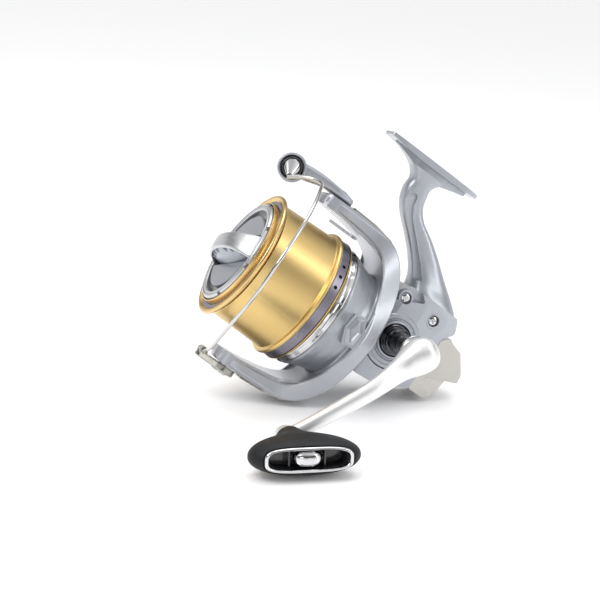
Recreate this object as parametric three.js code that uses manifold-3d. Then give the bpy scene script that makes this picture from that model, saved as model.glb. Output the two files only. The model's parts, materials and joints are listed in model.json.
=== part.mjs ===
// Spinning reel, long-cast pattern with a front drag, as an assembly of separate pieces.
// Millimetres. Every piece is drawn in the reel's own axes: X along the spool axis towards the
// nose, Y along the crank axis towards the handle, Z towards the rod, with the origin where the
// crank axis passes over the spool axis. The last section lays the whole reel down on a flat
// surface, where it rests on its lower rotor arm, its rear cover and its handle knob.
import * as THREE from "three";
import { mergeVertices } from "three/addons/utils/BufferGeometryUtils.js";
import Module from "manifold-3d";

const wasm = await Module();
wasm.setup();

// ---------------------------------------------------------------- driving dimensions
const GAP = 0.3; // clearance between pieces that touch
const ALL = 60; // far ends of the shapes that cut or trim the body and the rotor arms

const CRANK_Z = 9.7; // height of the crank axis over the spool axis
const CRANK_REACH = 88.3; // crank axis to knob axis
const CRANK_REST = -60.3; // direction of the crank arm at rest, degrees from +X towards +Z
const ARM_ROOT_Y = 63; // middle of the crank arm where it leaves the hub
const ARM_TIP_Y = 78; // and at the knob
const KNOB_SHAFT_R = 2.6;

const AXLE_R = 4.8; // hollow axle of the drive gear
const BEARING_R = 9.4; // ball bearings on that axle

const MODULE = 0.8; // gear tooth size
const PINION_TEETH = 10;
const DRIVE_TEETH = 43;
const WORM_TEETH = 13;

const LIP_R = 39.5; // spool lip
const LIP_X = 98.5; // front plane of the lip, spool fully back
const BARREL_FRONT_R = 36.2;
const BARREL_REAR_R = 37.7;
const BARREL_FRONT_X = 94.2;
const BARREL_REAR_X = 58.9;
const FLANGE_R = 40.2;
const SKIRT_R = 39.2;
const SKIRT_BACK_X = 49.8;

const SHAFT_R = 2.2; // main shaft
const PINION_BORE_R = 2.6;
const PINION_SHAFT_R = 3.9;

const BAIL_X = 70; // bail pivot axis, parallel to Z
const ARM_OUTER_Z = 56.4; // outer face of the rotor arm at the bail pivot
const BAIL_PLATE_Z = 57.2; // inner face of the bail arm and of the bail holder
const BAIL_PLATE_T = 3.4;
const PIVOT_SCREW_R = 2.5;
const PIVOT_HOLE_R = 2.8;
const PIVOT_HEAD_R = 5.1;
const ROLLER_AT = new THREE.Vector3(102.1, 0, 55.7);
const ROLLER_TILT = 20; // the roller's axis, degrees from +Y towards +X
const HOUSING_R = 7.8;

const FOOT_TOP_Z = 106.4;

// ---------------------------------------------------------------- colours
const GOLD = [0xc9a45c, 0.32, 1.0];
const LILAC = [0x8d8a98, 0.38, 0.9];
const PAINT = [0x9aa0aa, 0.42, 0.55];
const PAINT_DARK = [0x6f747d, 0.5, 0.5];
const BEIGE = [0xb9b4ab, 0.4, 0.7];
const CHROME = [0xd9dadb, 0.12, 1.0];
const NICKEL = [0xa9a79f, 0.25, 1.0];
const STEEL = [0x9b9da0, 0.3, 1.0];
const DARK_CHROME = [0x2b2c2f, 0.15, 0.9];
const SATIN = [0xdfe2e4, 0.3, 0.8];
const RUBBER = [0x26272a, 0.75, 0.0];
const BLACK = [0x151515, 0.4, 0.2];
const BRASS = [0xb08d4a, 0.35, 1.0];
const BRONZE = [0x8a6a3c, 0.4, 1.0];
const FELT = [0x3b3a38, 0.9, 0.0];

// ---------------------------------------------------------------- helpers
const rad = THREE.MathUtils.degToRad;
const X_AXIS = new THREE.Vector3(1, 0, 0);
const Y_AXIS = new THREE.Vector3(0, 1, 0);
const Z_AXIS = new THREE.Vector3(0, 0, 1);
const vec = (x, y, z) => new THREE.Vector3(x, y, z);

const reel = new THREE.Group();

function add(name, shape, finish) {
  const geometry = shape.isBufferGeometry ? shape : geometryOf(shape);
  const [color, roughness, metalness] = finish;
  const material = new THREE.MeshStandardMaterial({ color, roughness, metalness });
  const mesh = new THREE.Mesh(geometry, material);
  mesh.name = name;
  reel.add(mesh);
  return mesh;
}

// A closed geometry as a manifold-3d solid, facing out.
function solid(geometry) {
  const bare = geometry.index ? geometry.toNonIndexed() : geometry.clone();
  for (const name of Object.keys(bare.attributes)) {
    if (name !== "position") bare.deleteAttribute(name);
  }
  const merged = mergeVertices(bare, 1e-4);
  const points = merged.attributes.position.array;
  const corners = [];
  let volume = 0;
  for (let i = 0; i < merged.index.count; i += 3) {
    const [a, b, c] = [0, 1, 2].map((k) => merged.index.getX(i + k));
    if (a === b || b === c || c === a) continue;
    corners.push(a, b, c);
    const [p, q, r] = [a, b, c].map((k) => new THREE.Vector3().fromArray(points, 3 * k));
    volume += p.dot(q.cross(r));
  }
  if (volume < 0) corners.reverse();
  const triVerts = new Uint32Array(corners);
  return new wasm.Manifold(new wasm.Mesh({ numProp: 3, vertProperties: points, triVerts }));
}

function geometryOf(made) {
  const { vertProperties, triVerts } = made.getMesh();
  const geometry = new THREE.BufferGeometry();
  geometry.setAttribute("position", new THREE.BufferAttribute(vertProperties, 3));
  geometry.setIndex(new THREE.BufferAttribute(triVerts, 1));
  geometry.computeVertexNormals();
  return geometry;
}

const join = (first, ...others) => others.reduce((sum, other) => sum.add(other), first);
const cut = (first, ...others) => others.reduce((rest, other) => rest.subtract(other), first);

// Turns a geometry that is drawn along Y so that it lies along an axis through a point.
function aim(geometry, axis, at) {
  const turn = new THREE.Quaternion().setFromUnitVectors(Y_AXIS, axis);
  return geometry.applyQuaternion(turn).translate(at.x, at.y, at.z);
}

// A turned piece: rows of [distance along the axis, radius] that close on themselves.
function turned(profile, axis = X_AXIS, at = vec(0, 0, 0), sides = 24) {
  const points = profile.map(([along, radius]) => new THREE.Vector2(radius, along));
  points.push(points[0].clone());
  return solid(aim(new THREE.LatheGeometry(points, sides), axis, at));
}

// A plain round bar from one distance to another along an axis.
function bar(radius, from, to, axis = X_AXIS, at = vec(0, 0, 0), sides = 16) {
  const geometry = new THREE.CylinderGeometry(radius, radius, to - from, sides);
  geometry.translate(0, (from + to) / 2, 0);
  return solid(aim(geometry, axis, at));
}

const ring = (inner, outer, from, to, axis, at, sides) =>
  turned([[from, inner], [to, inner], [to, outer], [from, outer]], axis, at, sides);

function block(x0, x1, y0, y1, z0, z1) {
  const geometry = new THREE.BoxGeometry(x1 - x0, y1 - y0, z1 - z0);
  return solid(geometry.translate((x0 + x1) / 2, (y0 + y1) / 2, (z0 + z1) / 2));
}

// An outline of [x, z] points, thick from y0 to y1.
function sidePlate(outline, y0, y1) {
  const shape = new THREE.Shape(outline.map(([x, z]) => new THREE.Vector2(x, z)));
  const geometry = new THREE.ExtrudeGeometry(shape, { depth: y1 - y0, bevelEnabled: false });
  return solid(geometry.rotateX(Math.PI / 2).translate(0, y1, 0));
}

// An outline of [x, y] points, thick from z0 to z1.
function topPlate(outline, z0, z1) {
  const shape = new THREE.Shape(outline.map(([x, y]) => new THREE.Vector2(x, y)));
  const geometry = new THREE.ExtrudeGeometry(shape, { depth: z1 - z0, bevelEnabled: false });
  return solid(geometry.translate(0, 0, z0));
}

// The same outline on both sides of the X axis, from one side's [x, half width] points.
const mirrored = (half) => [...half, ...half.toReversed().map(([x, y]) => [x, -y])];
const upsideDown = (made) => made.mirror([0, 0, 1]);

// A round wire or tube along a smooth curve through points.
function tube(points, radius, steps, sides = 8) {
  const section = new THREE.Shape();
  for (let i = 0; i < sides; i++) {
    const angle = (2 * Math.PI * i) / sides;
    const [u, v] = [radius * Math.cos(angle), radius * Math.sin(angle)];
    if (i === 0) section.moveTo(u, v);
    else section.lineTo(u, v);
  }
  const extrudePath = new THREE.CatmullRomCurve3(points);
  return solid(new THREE.ExtrudeGeometry(section, { steps, extrudePath }));
}

// A closed skin over rings of points that all have the same count.
function loft(rings) {
  const count = rings[0].length;
  const positions = rings.flat().flatMap((p) => [p.x, p.y, p.z]);
  const corners = [];
  for (let r = 0; r + 1 < rings.length; r++) {
    for (let i = 0; i < count; i++) {
      const [a, b] = [r * count + i, r * count + ((i + 1) % count)];
      corners.push(a, b, b + count, a, b + count, a + count);
    }
  }
  const last = (rings.length - 1) * count;
  for (let i = 1; i + 1 < count; i++) {
    corners.push(0, i + 1, i, last, last + i, last + i + 1);
  }
  const geometry = new THREE.BufferGeometry();
  geometry.setAttribute("position", new THREE.Float32BufferAttribute(positions, 3));
  geometry.setIndex(corners);
  return solid(geometry);
}

// A ring of points round a centre, a superellipse in the plane of two directions.
function oval(centre, across, halfAcross, along, halfAlong, squareness = 2, sides = 20) {
  const points = [];
  for (let i = 0; i < sides; i++) {
    const angle = (2 * Math.PI * (i + 0.5)) / sides;
    const [c, s] = [Math.cos(angle), Math.sin(angle)];
    const u = Math.sign(c) * Math.abs(c) ** (2 / squareness) * halfAcross;
    const v = Math.sign(s) * Math.abs(s) ** (2 / squareness) * halfAlong;
    points.push(centre.clone().addScaledVector(across, u).addScaledVector(along, v));
  }
  return points;
}

// A spur gear's outline with narrow straight-sided teeth, the first tooth at an angle.
function gearOutline(teeth, pitchR, firstTooth) {
  const [rootR, tipR] = [pitchR - 1.1 * MODULE, pitchR + 0.85 * MODULE];
  const points = [];
  for (let i = 0; i < teeth; i++) {
    const middle = firstTooth + (2 * Math.PI * i) / teeth;
    const [rootHalf, tipHalf] = [0.26, 0.13].map((share) => (share * 2 * Math.PI) / teeth);
    for (const [radius, angle] of [
      [rootR, middle - rootHalf],
      [tipR, middle - tipHalf],
      [tipR, middle + tipHalf],
      [rootR, middle + rootHalf],
    ]) {
      points.push([radius * Math.cos(angle), radius * Math.sin(angle)]);
    }
  }
  return points;
}

// The same gear along X: its outline lies in the plane of Y and Z.
function spurGear(teeth, pitchR, firstTooth, x0, x1) {
  const outline = gearOutline(teeth, pitchR, firstTooth);
  const shape = new THREE.Shape(outline.map(([y, z]) => new THREE.Vector2(y, z)));
  const geometry = new THREE.ExtrudeGeometry(shape, { depth: x1 - x0, bevelEnabled: false });
  const turn = new THREE.Matrix4().makeBasis(Y_AXIS, Z_AXIS, X_AXIS);
  return solid(geometry.applyMatrix4(turn).translate(x0, 0, 0));
}

// ---------------------------------------------------------------- gear train places
const PINION_R = (MODULE * PINION_TEETH) / 2;
const WORM_R = (MODULE * WORM_TEETH) / 2;
const DRIVE_X = (PINION_R * DRIVE_TEETH) / PINION_TEETH; // the face gear meets the pinion here
const PINION_FIRST_TOOTH = Math.PI / PINION_TEETH; // leaves a gap at +Y for the face gear's tooth
const WORM_ANGLE = Math.PI + PINION_FIRST_TOOTH;
const WORM_DISTANCE = PINION_R + WORM_R + 0.15;
const WORM_AT = vec(0, WORM_DISTANCE * Math.cos(WORM_ANGLE), WORM_DISTANCE * Math.sin(WORM_ANGLE));
const CRANK_AT = vec(0, 0, CRANK_Z);
const GUIDE_AT = vec(0, -6.2, 2.7);

// ---------------------------------------------------------------- body: foot, stem and housing
const HOUSING_SIDE = [
  [15, -13], [10, -18.4], [-10, -17], [-19, -11.5], [-26, -8.5], [-26, 26], [-33, 32.6],
  [-30, 41], [8, 41], [13.4, 34.5], [15, 28],
];
const HOUSING_INSIDE = [
  [13.5, -12], [9.2, -16.5], [-9.5, -15.2], [-18, -9.8], [-24, -6.9], [-28, -6.9], [-28, 24],
  [-27, 31], [-26, 37], [6.5, 37], [11.8, 34], [13.5, 27.6],
];
const HOUSING_TOP = [[16, 17.5], [8, 19.6], [-6, 19.6], [-28, 16.2], [-53, 12.6]];
const WALL = 1.7;
const SPLIT_Y = 6.2; // the side cover meets the frame here

const housingOuter = sidePlate(HOUSING_SIDE, -ALL, ALL).intersect(
  topPlate(mirrored(HOUSING_TOP), -ALL, ALL),
);
const housingInner = sidePlate(HOUSING_INSIDE, -ALL, ALL).intersect(
  topPlate(mirrored(HOUSING_TOP.map(([x, y]) => [x + (x > 10 ? 3 : 0), y - WALL])), -ALL, ALL),
);
const frameSide = block(-ALL, ALL, -ALL, SPLIT_Y, -ALL, ALL);
const coverSide = block(-ALL, ALL, SPLIT_Y + GAP, ALL, -ALL, ALL);

// The screws that hold the side cover: [x, z] of each.
const COVER_SCREWS = { front: [8, 33], rear: [-14, 31.5], lower: [-12.5, -12.4] };
const screwAt = ([x, z]) => vec(x, 0, z);

// The stem's horizontal sections: height, front x, back x and half width.
const STEM = [
  [36, 5.5, -31, 14.5],
  [41.3, 5, -29.5, 13.6],
  [48, 8, -22, 10.6],
  [55.5, 14.2, -11.6, 8.4],
  [63, 22.2, -1.6, 7.2],
  [69.5, 30.1, 8.2, 6.6],
  [75, 35.8, 18.2, 6.3],
  [80.5, 39.3, 23.6, 6.2],
  [86.5, 41, 25.9, 6.2],
  [93, 41.2, 26.6, 6.6],
  [99, 46, 22, 7.4],
];
const stemRing = ([z, front, back, half]) =>
  oval(vec((front + back) / 2, 0, z), X_AXIS, (front - back) / 2, Y_AXIS, half, 3.2, 24);
const stemAbove = loft(STEM.slice(1).map(stemRing));
const stemBelow = loft(STEM.slice(0, 2).map(stemRing)).intersect(frameSide);

const FOOT_SIDE = [
  [66.9, 104.4], [57, 102.4], [48, 99.8], [42, 96.5], [26, 96.5], [15, 99.8], [5, 102.2],
  [0.8, 103.6], [0.8, FOOT_TOP_Z], [66.9, FOOT_TOP_Z],
];
const FOOT_TOP = [
  [66.9, 5.6], [66, 6.8], [56, 7.9], [40, 8.3], [24, 8.3], [10, 7.9], [4, 6.8], [1.6, 4.4], [0.8, 2],
];
const foot = sidePlate(FOOT_SIDE, -12, 12).intersect(topPlate(mirrored(FOOT_TOP), 90, 110));

// The nose of the body reaches into the rotor and holds the pinion bearing and the clutch.
const NOSE = [
  [14, 31.3], [23.5, 31.3], [26, 29], [26.4, 19.3], [38, 19.3], [38, 16.6], [30.9, 16.6],
  [30.9, 9.8], [24.6, 9.8], [24.2, 29], [14, 29],
];
const noseRoom = bar(28.8, 10, 24.2, X_AXIS, vec(0, 0, 0), 36);

const crankBossFar = ring(BEARING_R + GAP, 12.2, -19, -12.4, Y_AXIS, CRANK_AT, 24);
const posts = Object.values(COVER_SCREWS).map((at) => bar(2.7, -18.4, SPLIT_Y, Y_AXIS, screwAt(at), 14));
const postHoles = Object.values(COVER_SCREWS).map((at) => bar(1.5, -6, 9, Y_AXIS, screwAt(at), 12));
const capRecess = bar(BEARING_R + GAP, -30, -17, Y_AXIS, CRANK_AT, 24);
const rearScrewHole = bar(1.6, -40, 0, Y_AXIS, vec(-23.5, 0, 20), 12);

const frameShell = cut(housingOuter.intersect(frameSide), housingInner, capRecess, noseRoom, rearScrewHole);
const bodyFrame = cut(
  join(frameShell, turned(NOSE), crankBossFar, ...posts, stemBelow, stemAbove, foot),
  ...postHoles,
  block(-60, 24, SPLIT_Y, 40, -60, 41).subtract(bar(34, 15.3, 40)),
);
add("body_frame", bodyFrame, PAINT);

const crankBossNear = ring(BEARING_R + GAP, 13.6, 11, 21.6, Y_AXIS, CRANK_AT, 24);
const crankOpening = bar(BEARING_R + GAP, 8, 30, Y_AXIS, CRANK_AT, 24);
const screwHoles = Object.values(COVER_SCREWS).flatMap((at) => [
  bar(1.7, 0, 30, Y_AXIS, screwAt(at), 12),
  bar(3.5, 16.2, 30, Y_AXIS, screwAt(at), 20),
]);
const screwSeats = Object.values(COVER_SCREWS).map((at) => bar(4.4, 13.6, 18.2, Y_AXIS, screwAt(at), 20));
const sideCover = cut(
  join(
    cut(housingOuter, housingInner).intersect(coverSide),
    crankBossNear,
    ...screwSeats.map((seat) => seat.intersect(housingOuter)),
  ),
  crankOpening,
  ...screwHoles,
  bar(31.6, 0, 40, X_AXIS, vec(0, 0, 0), 36).intersect(block(13.2, 40, -40, 40, -40, 40)),
  block(-60, 13.4, 0, 40, 40.9, 60),
);
add("side_cover", sideCover, PAINT);

function crossScrew(headR, headT, shankR, length) {
  const screw = turned([
    [0, 0], [0, headR * 0.8], [-0.4 * headT, headR], [-headT, shankR],
    [-length, shankR], [-length, 0],
  ], Y_AXIS, vec(0, 0, 0), 8);
  const slots = [0, Math.PI / 2].map((angle) => {
    const slot = new THREE.BoxGeometry(headR * 1.1, headT, headR * 0.22);
    return solid(slot.rotateY(angle));
  });
  return geometryOf(cut(screw, ...slots));
}
for (const [place, [x, z]] of Object.entries(COVER_SCREWS)) {
  add("side_cover_screw_" + place, crossScrew(3.1, 1.8, 1.25, 14), CHROME).position.set(x, 18.4, z);
}

// ---------------------------------------------------------------- rear cover
const REAR_INSET = 0.5; // the rear cover is this much narrower than the housing, each side
const REAR_SIDE = [
  [-26.4, -8.4], [-37.6, -8.2], [-41.2, -6], [-43.8, -1.4], [-44.2, 6.2], [-51.2, 9.4], [-51.6, 15.4],
  [-43, 25.6], [-36, 28.2], [-33.6, 31.8], [-26.4, 25.6],
];
const REAR_INSIDE = [
  [-20, -6.7], [-37.2, -6.7], [-39.9, -5], [-42.2, -0.9], [-42.6, 7.6], [-49.5, 10.6],
  [-49.8, 14.8], [-42, 23.6], [-35, 26], [-20, 23.6],
];
const rearWidth = (less) => topPlate(mirrored(HOUSING_TOP.map(([x, y]) => [x, y - less])), -ALL, ALL);
const rearCover = cut(
  sidePlate(REAR_SIDE, -ALL, ALL).intersect(rearWidth(REAR_INSET)),
  sidePlate(REAR_INSIDE, -ALL, ALL).intersect(rearWidth(REAR_INSET + WALL)),
);
add("rear_cover", rearCover, BEIGE);
const rearScrew = add("rear_cover_screw", crossScrew(2.6, 1.4, 1.2, 8), CHROME);
rearScrew.rotation.x = Math.PI;
rearScrew.position.set(-23.5, -19, 20);

// ---------------------------------------------------------------- crank bearings and caps
add("crank_bearing_near", ring(AXLE_R + 0.4, BEARING_R, 11.6, 16.4, Y_AXIS, CRANK_AT, 24), STEEL);
add("crank_bearing_far", ring(AXLE_R + 0.4, BEARING_R, -17.2, -12.8, Y_AXIS, CRANK_AT, 24), STEEL);
add("crank_collar", turned([
  [16.8, AXLE_R + 0.5], [22.4, AXLE_R + 0.5], [23.2, 6.2], [22.8, 8.2], [21.4, BEARING_R],
  [16.8, BEARING_R],
], Y_AXIS, CRANK_AT, 24), DARK_CHROME);
const capCoin = solid(new THREE.BoxGeometry(12, 1.6, 1.8).translate(0, -24, CRANK_Z));
add("far_side_cap", cut(turned([
  [-17.6, 0], [-24.2, 0], [-24.2, 6.5], [-23.2, 8.8], [-20.6, BEARING_R],
  [-17.6, BEARING_R],
], Y_AXIS, CRANK_AT, 24), capCoin), DARK_CHROME);

// ---------------------------------------------------------------- drive gear on the crank axis
const driveAxle = turned([
  [-16.9, 3.3], [18.6, 3.3], [18.6, AXLE_R], [9.2, AXLE_R], [9.2, 7.4], [8.4, 21.4], [6.6, 21.4],
  [6.6, 5.6], [5.4, AXLE_R], [-16.9, AXLE_R],
], Y_AXIS, CRANK_AT, 24);
const faceTeeth = Array.from({ length: DRIVE_TEETH }, (_, i) => {
  const turn = (2 * Math.PI * i) / DRIVE_TEETH;
  const tooth = new THREE.BoxGeometry(2.6, 3.1, 0.5).translate(DRIVE_X, 5.2, -CRANK_Z);
  return solid(tooth.rotateY(turn).translate(0, 0, CRANK_Z));
});
add("drive_gear", join(driveAxle, ...faceTeeth), BRONZE);

// ---------------------------------------------------------------- pinion, clutch and worm
const pinion = cut(
  join(
    spurGear(PINION_TEETH, PINION_R, PINION_FIRST_TOOTH, 13.6, 20.6),
    bar(PINION_SHAFT_R, 20.5, 51.5, X_AXIS, vec(0, 0, 0), 28),
  ),
  bar(PINION_BORE_R, 10, 60, X_AXIS, vec(0, 0, 0), 20),
);
add("pinion", pinion, BRASS);
add("pinion_bearing", ring(PINION_SHAFT_R + GAP, 9.5, 25.2, 30.6, X_AXIS, vec(0, 0, 0), 24), STEEL);
add("clutch_sleeve", ring(PINION_SHAFT_R + GAP, 6, 31.2, 37.4, X_AXIS, vec(0, 0, 0), 28), STEEL);
add("roller_clutch", turned([
  [31.4, 6.4], [36.4, 6.4], [36.4, 16.2], [31.4, 16.2],
], X_AXIS, vec(0, 0, 0), 24), STEEL);
add("friction_ring", ring(19.7, 21.2, 30, 35, X_AXIS, vec(0, 0, 0), 28), RUBBER);

const WORM_SHAFT_R = 2.4;
const wormShaft = join(
  spurGear(WORM_TEETH, WORM_R, WORM_ANGLE - Math.PI + Math.PI / WORM_TEETH, 14.2, 17.4)
    .translate([0, WORM_AT.y, WORM_AT.z]),
  bar(WORM_SHAFT_R, -33, 19, X_AXIS, WORM_AT, 20),
);
add("worm_shaft", wormShaft, BRASS);
add("slider_guide_rod", bar(1.4, -41, 11, X_AXIS, GUIDE_AT, 14), STEEL);

// ---------------------------------------------------------------- main shaft and what it moves
const mainShaft = turned([
  [-36.2, 0], [101, 0], [101, SHAFT_R - 0.4], [100.6, SHAFT_R], [-36.2, SHAFT_R],
], X_AXIS, vec(0, 0, 0), 16);
add("main_shaft", mainShaft, STEEL);
const slider = cut(
  block(-37.4, -31.6, -11.9, 3, -6.1, 4.3),
  bar(SHAFT_R + GAP, -50, -20, X_AXIS, vec(0, 0, 0), 20),
  bar(WORM_SHAFT_R + 0.4, -50, -20, X_AXIS, WORM_AT, 20),
  bar(1.75, -50, -20, X_AXIS, GUIDE_AT, 14),
);
add("slider_block", slider, NICKEL);
add("slider_screw", turned([
  [-36.6, 0], [-36.6, 1.4], [-37.7, 1.4], [-37.7, 2.4], [-39, 2.4], [-39, 0],
], X_AXIS, vec(0, 0, 0), 16), CHROME);
add("spool_seat", turned([
  [61.4, SHAFT_R + GAP], [67.4, SHAFT_R + GAP], [67.4, 6], [66, 8.6], [62.4, 8.6], [61.4, 7.6],
], X_AXIS, vec(0, 0, 0), 20), BLACK);

// ---------------------------------------------------------------- spool
const spoolProfile = [
  [68, 4.9], [80, 4.9], [80, 8], [77, 8], [77, 22.6], [92, 22.6], [92, 24.4], [80, 24.4],
  [80, 33], [BARREL_FRONT_X, 33], [BARREL_FRONT_X, BARREL_FRONT_R],
  [BARREL_REAR_X + 0.6, BARREL_REAR_R - 0.1],
  [BARREL_REAR_X, FLANGE_R - 0.6], [BARREL_REAR_X - 0.8, FLANGE_R], [BARREL_REAR_X - 2, FLANGE_R],
  [BARREL_REAR_X - 2, 37], [SKIRT_BACK_X + 0.2, 37], [SKIRT_BACK_X + 0.2, 35.5], [74, 34.6],
  [74, 9.5], [68, 8.5],
];
add("spool", turned(spoolProfile, X_AXIS, vec(0, 0, 0), 36), GOLD);
add("spool_lip_ring", turned([
  [94.6, 33.4], [97, 33.4], [97.2, 36.6], [98.3, 37.2], [LIP_X, 38], [98, 39.2], [97.2, LIP_R],
  [96.2, 39.3], [94.6, 36.3],
], X_AXIS, vec(0, 0, 0), 36), GOLD);
const skirtHoles = [];
for (const group of [0, 120, 240]) {
  for (const angle of [20.5, 31, 41.5]) {
    const out = vec(0, Math.cos(rad(group + angle)), Math.sin(rad(group + angle)));
    skirtHoles.push(bar(1.15, 36, 41, out, vec(53.6, 0, 0), 6));
  }
}
add("spool_skirt", cut(ring(37.3, SKIRT_R, 50.8, 56.5, X_AXIS, vec(0, 0, 0), 36), ...skirtHoles), LILAC);
add("skirt_trim_ring", ring(37.3, SKIRT_R + 0.4, 49.8, 50.5, X_AXIS, vec(0, 0, 0), 36), GOLD);
add("spool_bush", ring(SHAFT_R + GAP, 4.6, 68.4, 79.4, X_AXIS, vec(0, 0, 0), 24), BRASS);
add("drag_washer_eared", ring(8.4, 22, 77.4, 78.8, X_AXIS, vec(0, 0, 0), 24), STEEL);
add("drag_washer_felt", ring(8.4, 21.6, 79.2, 81.6, X_AXIS, vec(0, 0, 0), 24), FELT);
add("drag_washer_keyed", ring(5.2, 21.6, 82, 83.4, X_AXIS, vec(0, 0, 0), 24), STEEL);
add("washer_retainer", ring(20.4, 22.1, 84, 85, X_AXIS, vec(0, 0, 0), 24), STEEL);

// ---------------------------------------------------------------- drag knob
const KNOB_R = 31.6;
const KNOB_FRONT_X = 102;
const knobDisc = turned([
  [86, 7.4], [86, 14], [93.4, 16], [94.4, 29], [95.2, KNOB_R], [100.6, KNOB_R], [KNOB_FRONT_X, 30.6],
  [KNOB_FRONT_X, 28.2], [98.4, 27.4], [98.4, 7.4],
], X_AXIS, vec(0, 0, 0), 32);
const knobNotches = Array.from({ length: 8 }, (_, i) => {
  const angle = (2 * Math.PI * i) / 8;
  const notch = new THREE.BoxGeometry(5, 2.4, 3).translate(101, KNOB_R + 0.4, 0);
  return solid(notch.rotateX(angle));
});
add("drag_knob_disc", cut(knobDisc, ...knobNotches), PAINT_DARK);
const BRIDGE_SIDE = [
  [98.8, -26.4], [103, -26], [107.6, -17.5], [111.6, -9], [113.3, -3], [113.3, 3], [111.6, 9],
  [107.6, 17.5], [103, 26], [98.8, 26.4],
];
const bridgeOutline = new THREE.Shape(BRIDGE_SIDE.map(([x, y]) => new THREE.Vector2(x, y)));
const bridgeHalf = 6.6;
const bridge = new THREE.ExtrudeGeometry(bridgeOutline, { depth: 2 * bridgeHalf, bevelEnabled: false });
const scoops = [-1, 1].map((side) => {
  const scoop = new THREE.SphereGeometry(5, 12, 8).scale(1.1, 1.3, 0.75);
  return solid(scoop.translate(110.2, side * 17, 0));
});
const nutRoom = bar(7.2, 90, 106, X_AXIS, vec(0, 0, 0), 24);
add("drag_knob_bridge", cut(
  solid(bridge.translate(0, 0, -bridgeHalf)),
  ...scoops,
  nutRoom,
), PAINT);
const nutOutline = new THREE.CylinderGeometry(6.6, 6.6, 8, 6).translate(0, 98.6, 0);
add("drag_nut", cut(
  solid(aim(nutOutline, X_AXIS, vec(0, 0, 0))),
  bar(SHAFT_R + GAP, 80, 110, X_AXIS, vec(0, 0, 0), 20),
), BRASS);

// ---------------------------------------------------------------- rotor
const cup = turned([
  [38.6, PINION_SHAFT_R + 0.4], [47, PINION_SHAFT_R + 0.4], [47, 9.6], [43.4, 9.6],
  [43.4, 23.6], [58, 23.6], [58, 25.4], [43.4, 25.4],
  [43.4, 32.2], [48.7, 32.2], [48.7, 34.1], [43.4, 34.1], [43.4, 37.2], [30, 37], [15.6, 35.6],
  [15.6, 33.6], [34, 33.4], [40, 28], [38.6, 9],
], X_AXIS, vec(0, 0, 0), 36);
const ARM_SIDE = [
  [79.5, 49.4], [79.5, 53.5], [76.5, ARM_OUTER_Z], [58, 56.6], [44, 55.8], [32, 53.8],
  [24.6, 49.4], [19, 42.6], [16.2, 34], [15.6, 26], [22, 24], [24.8, 31], [28.2, 37.6],
  [34.5, 42.8], [44, 46], [55, 47.8], [66, 49],
];
const ARM_TOP = [
  [79.2, 3.4], [76.6, 7.4], [72.6, 9.6], [66, 10.4], [55, 11.4], [44, 12.4],
  [33, 15.4], [24, 20.6], [14, 27],
];
const pocket = block(30, 56, -5.4, 5.4, 50.6, 60);
const pivotHole = bar(PIVOT_HOLE_R, 40, 80, Z_AXIS, vec(BAIL_X, 0, 0), 20);
const upperArm = cut(
  sidePlate(ARM_SIDE, -ALL, ALL).intersect(topPlate(mirrored(ARM_TOP), 0, ALL)),
  pocket,
  pivotHole,
  bar(33.6, 0, 34, X_AXIS, vec(0, 0, 0), 36),
);
const PANEL_X = 27.4;
const PANEL_Y = 35.2;
const panelOutline = (grow) => [
  [PANEL_X - 8.4 - grow, 0], [PANEL_X - 4.6 - grow, 9.6 + grow], [PANEL_X + 5.4 + grow, 9.6 + grow],
  [PANEL_X + 8.4 + grow, 0], [PANEL_X + 5.4 + grow, -9.6 - grow], [PANEL_X - 4.6 - grow, -9.6 - grow],
];
const panelSeats = [-1, 1].map((side) =>
  sidePlate(panelOutline(GAP), Math.min(side * PANEL_Y, side * 50), Math.max(side * PANEL_Y, side * 50)),
);
const cupWall = cut(cup, ...panelSeats);
const rotor = join(cupWall, upperArm, upsideDown(upperArm));
add("rotor", rotor, PAINT);
for (const [name, side] of [["near", 1], ["far", -1]]) {
  const [y0, y1] = [side * (PANEL_Y + GAP), side * (PANEL_Y + 2.4)];
  const face = sidePlate(panelOutline(0), Math.min(y0, y1), Math.max(y0, y1));
  const crown = sidePlate(panelOutline(-2.2), Math.min(y0, side * 38.4), Math.max(y0, side * 38.4));
  add("rotor_panel_" + name, join(face, crown), NICKEL);
}
add("rotor_collar", turned([
  [43.8, 34.4], [48.9, 34.4], [48.9, 36.6], [48.2, 37.8], [44.4, 38.2], [43.8, 37.8],
], X_AXIS, vec(0, 0, 0), 36), CHROME);
const nutHex = new THREE.CylinderGeometry(8.6, 8.6, 4, 6).translate(0, 49.4, 0);
add("rotor_nut", cut(
  solid(aim(nutHex, X_AXIS, vec(0, 0, 0))),
  bar(PINION_SHAFT_R + GAP, 40, 60, X_AXIS, vec(0, 0, 0), 24),
), CHROME);

// The nickel covers follow the arms' outer faces and close their pockets.
const COVER_SIDE = [
  [61, 57], [60, 58.2], [44, 57.4], [31.2, 55.3], [23, 50.3], [23.5, 49.3], [24.3, 49.8],
  [31.9, 54.3], [44, 56.2],
];
const armCover = sidePlate(COVER_SIDE, -8, 8);
add("arm_cover_upper", armCover, NICKEL);
add("arm_cover_lower", upsideDown(armCover), NICKEL);

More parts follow.
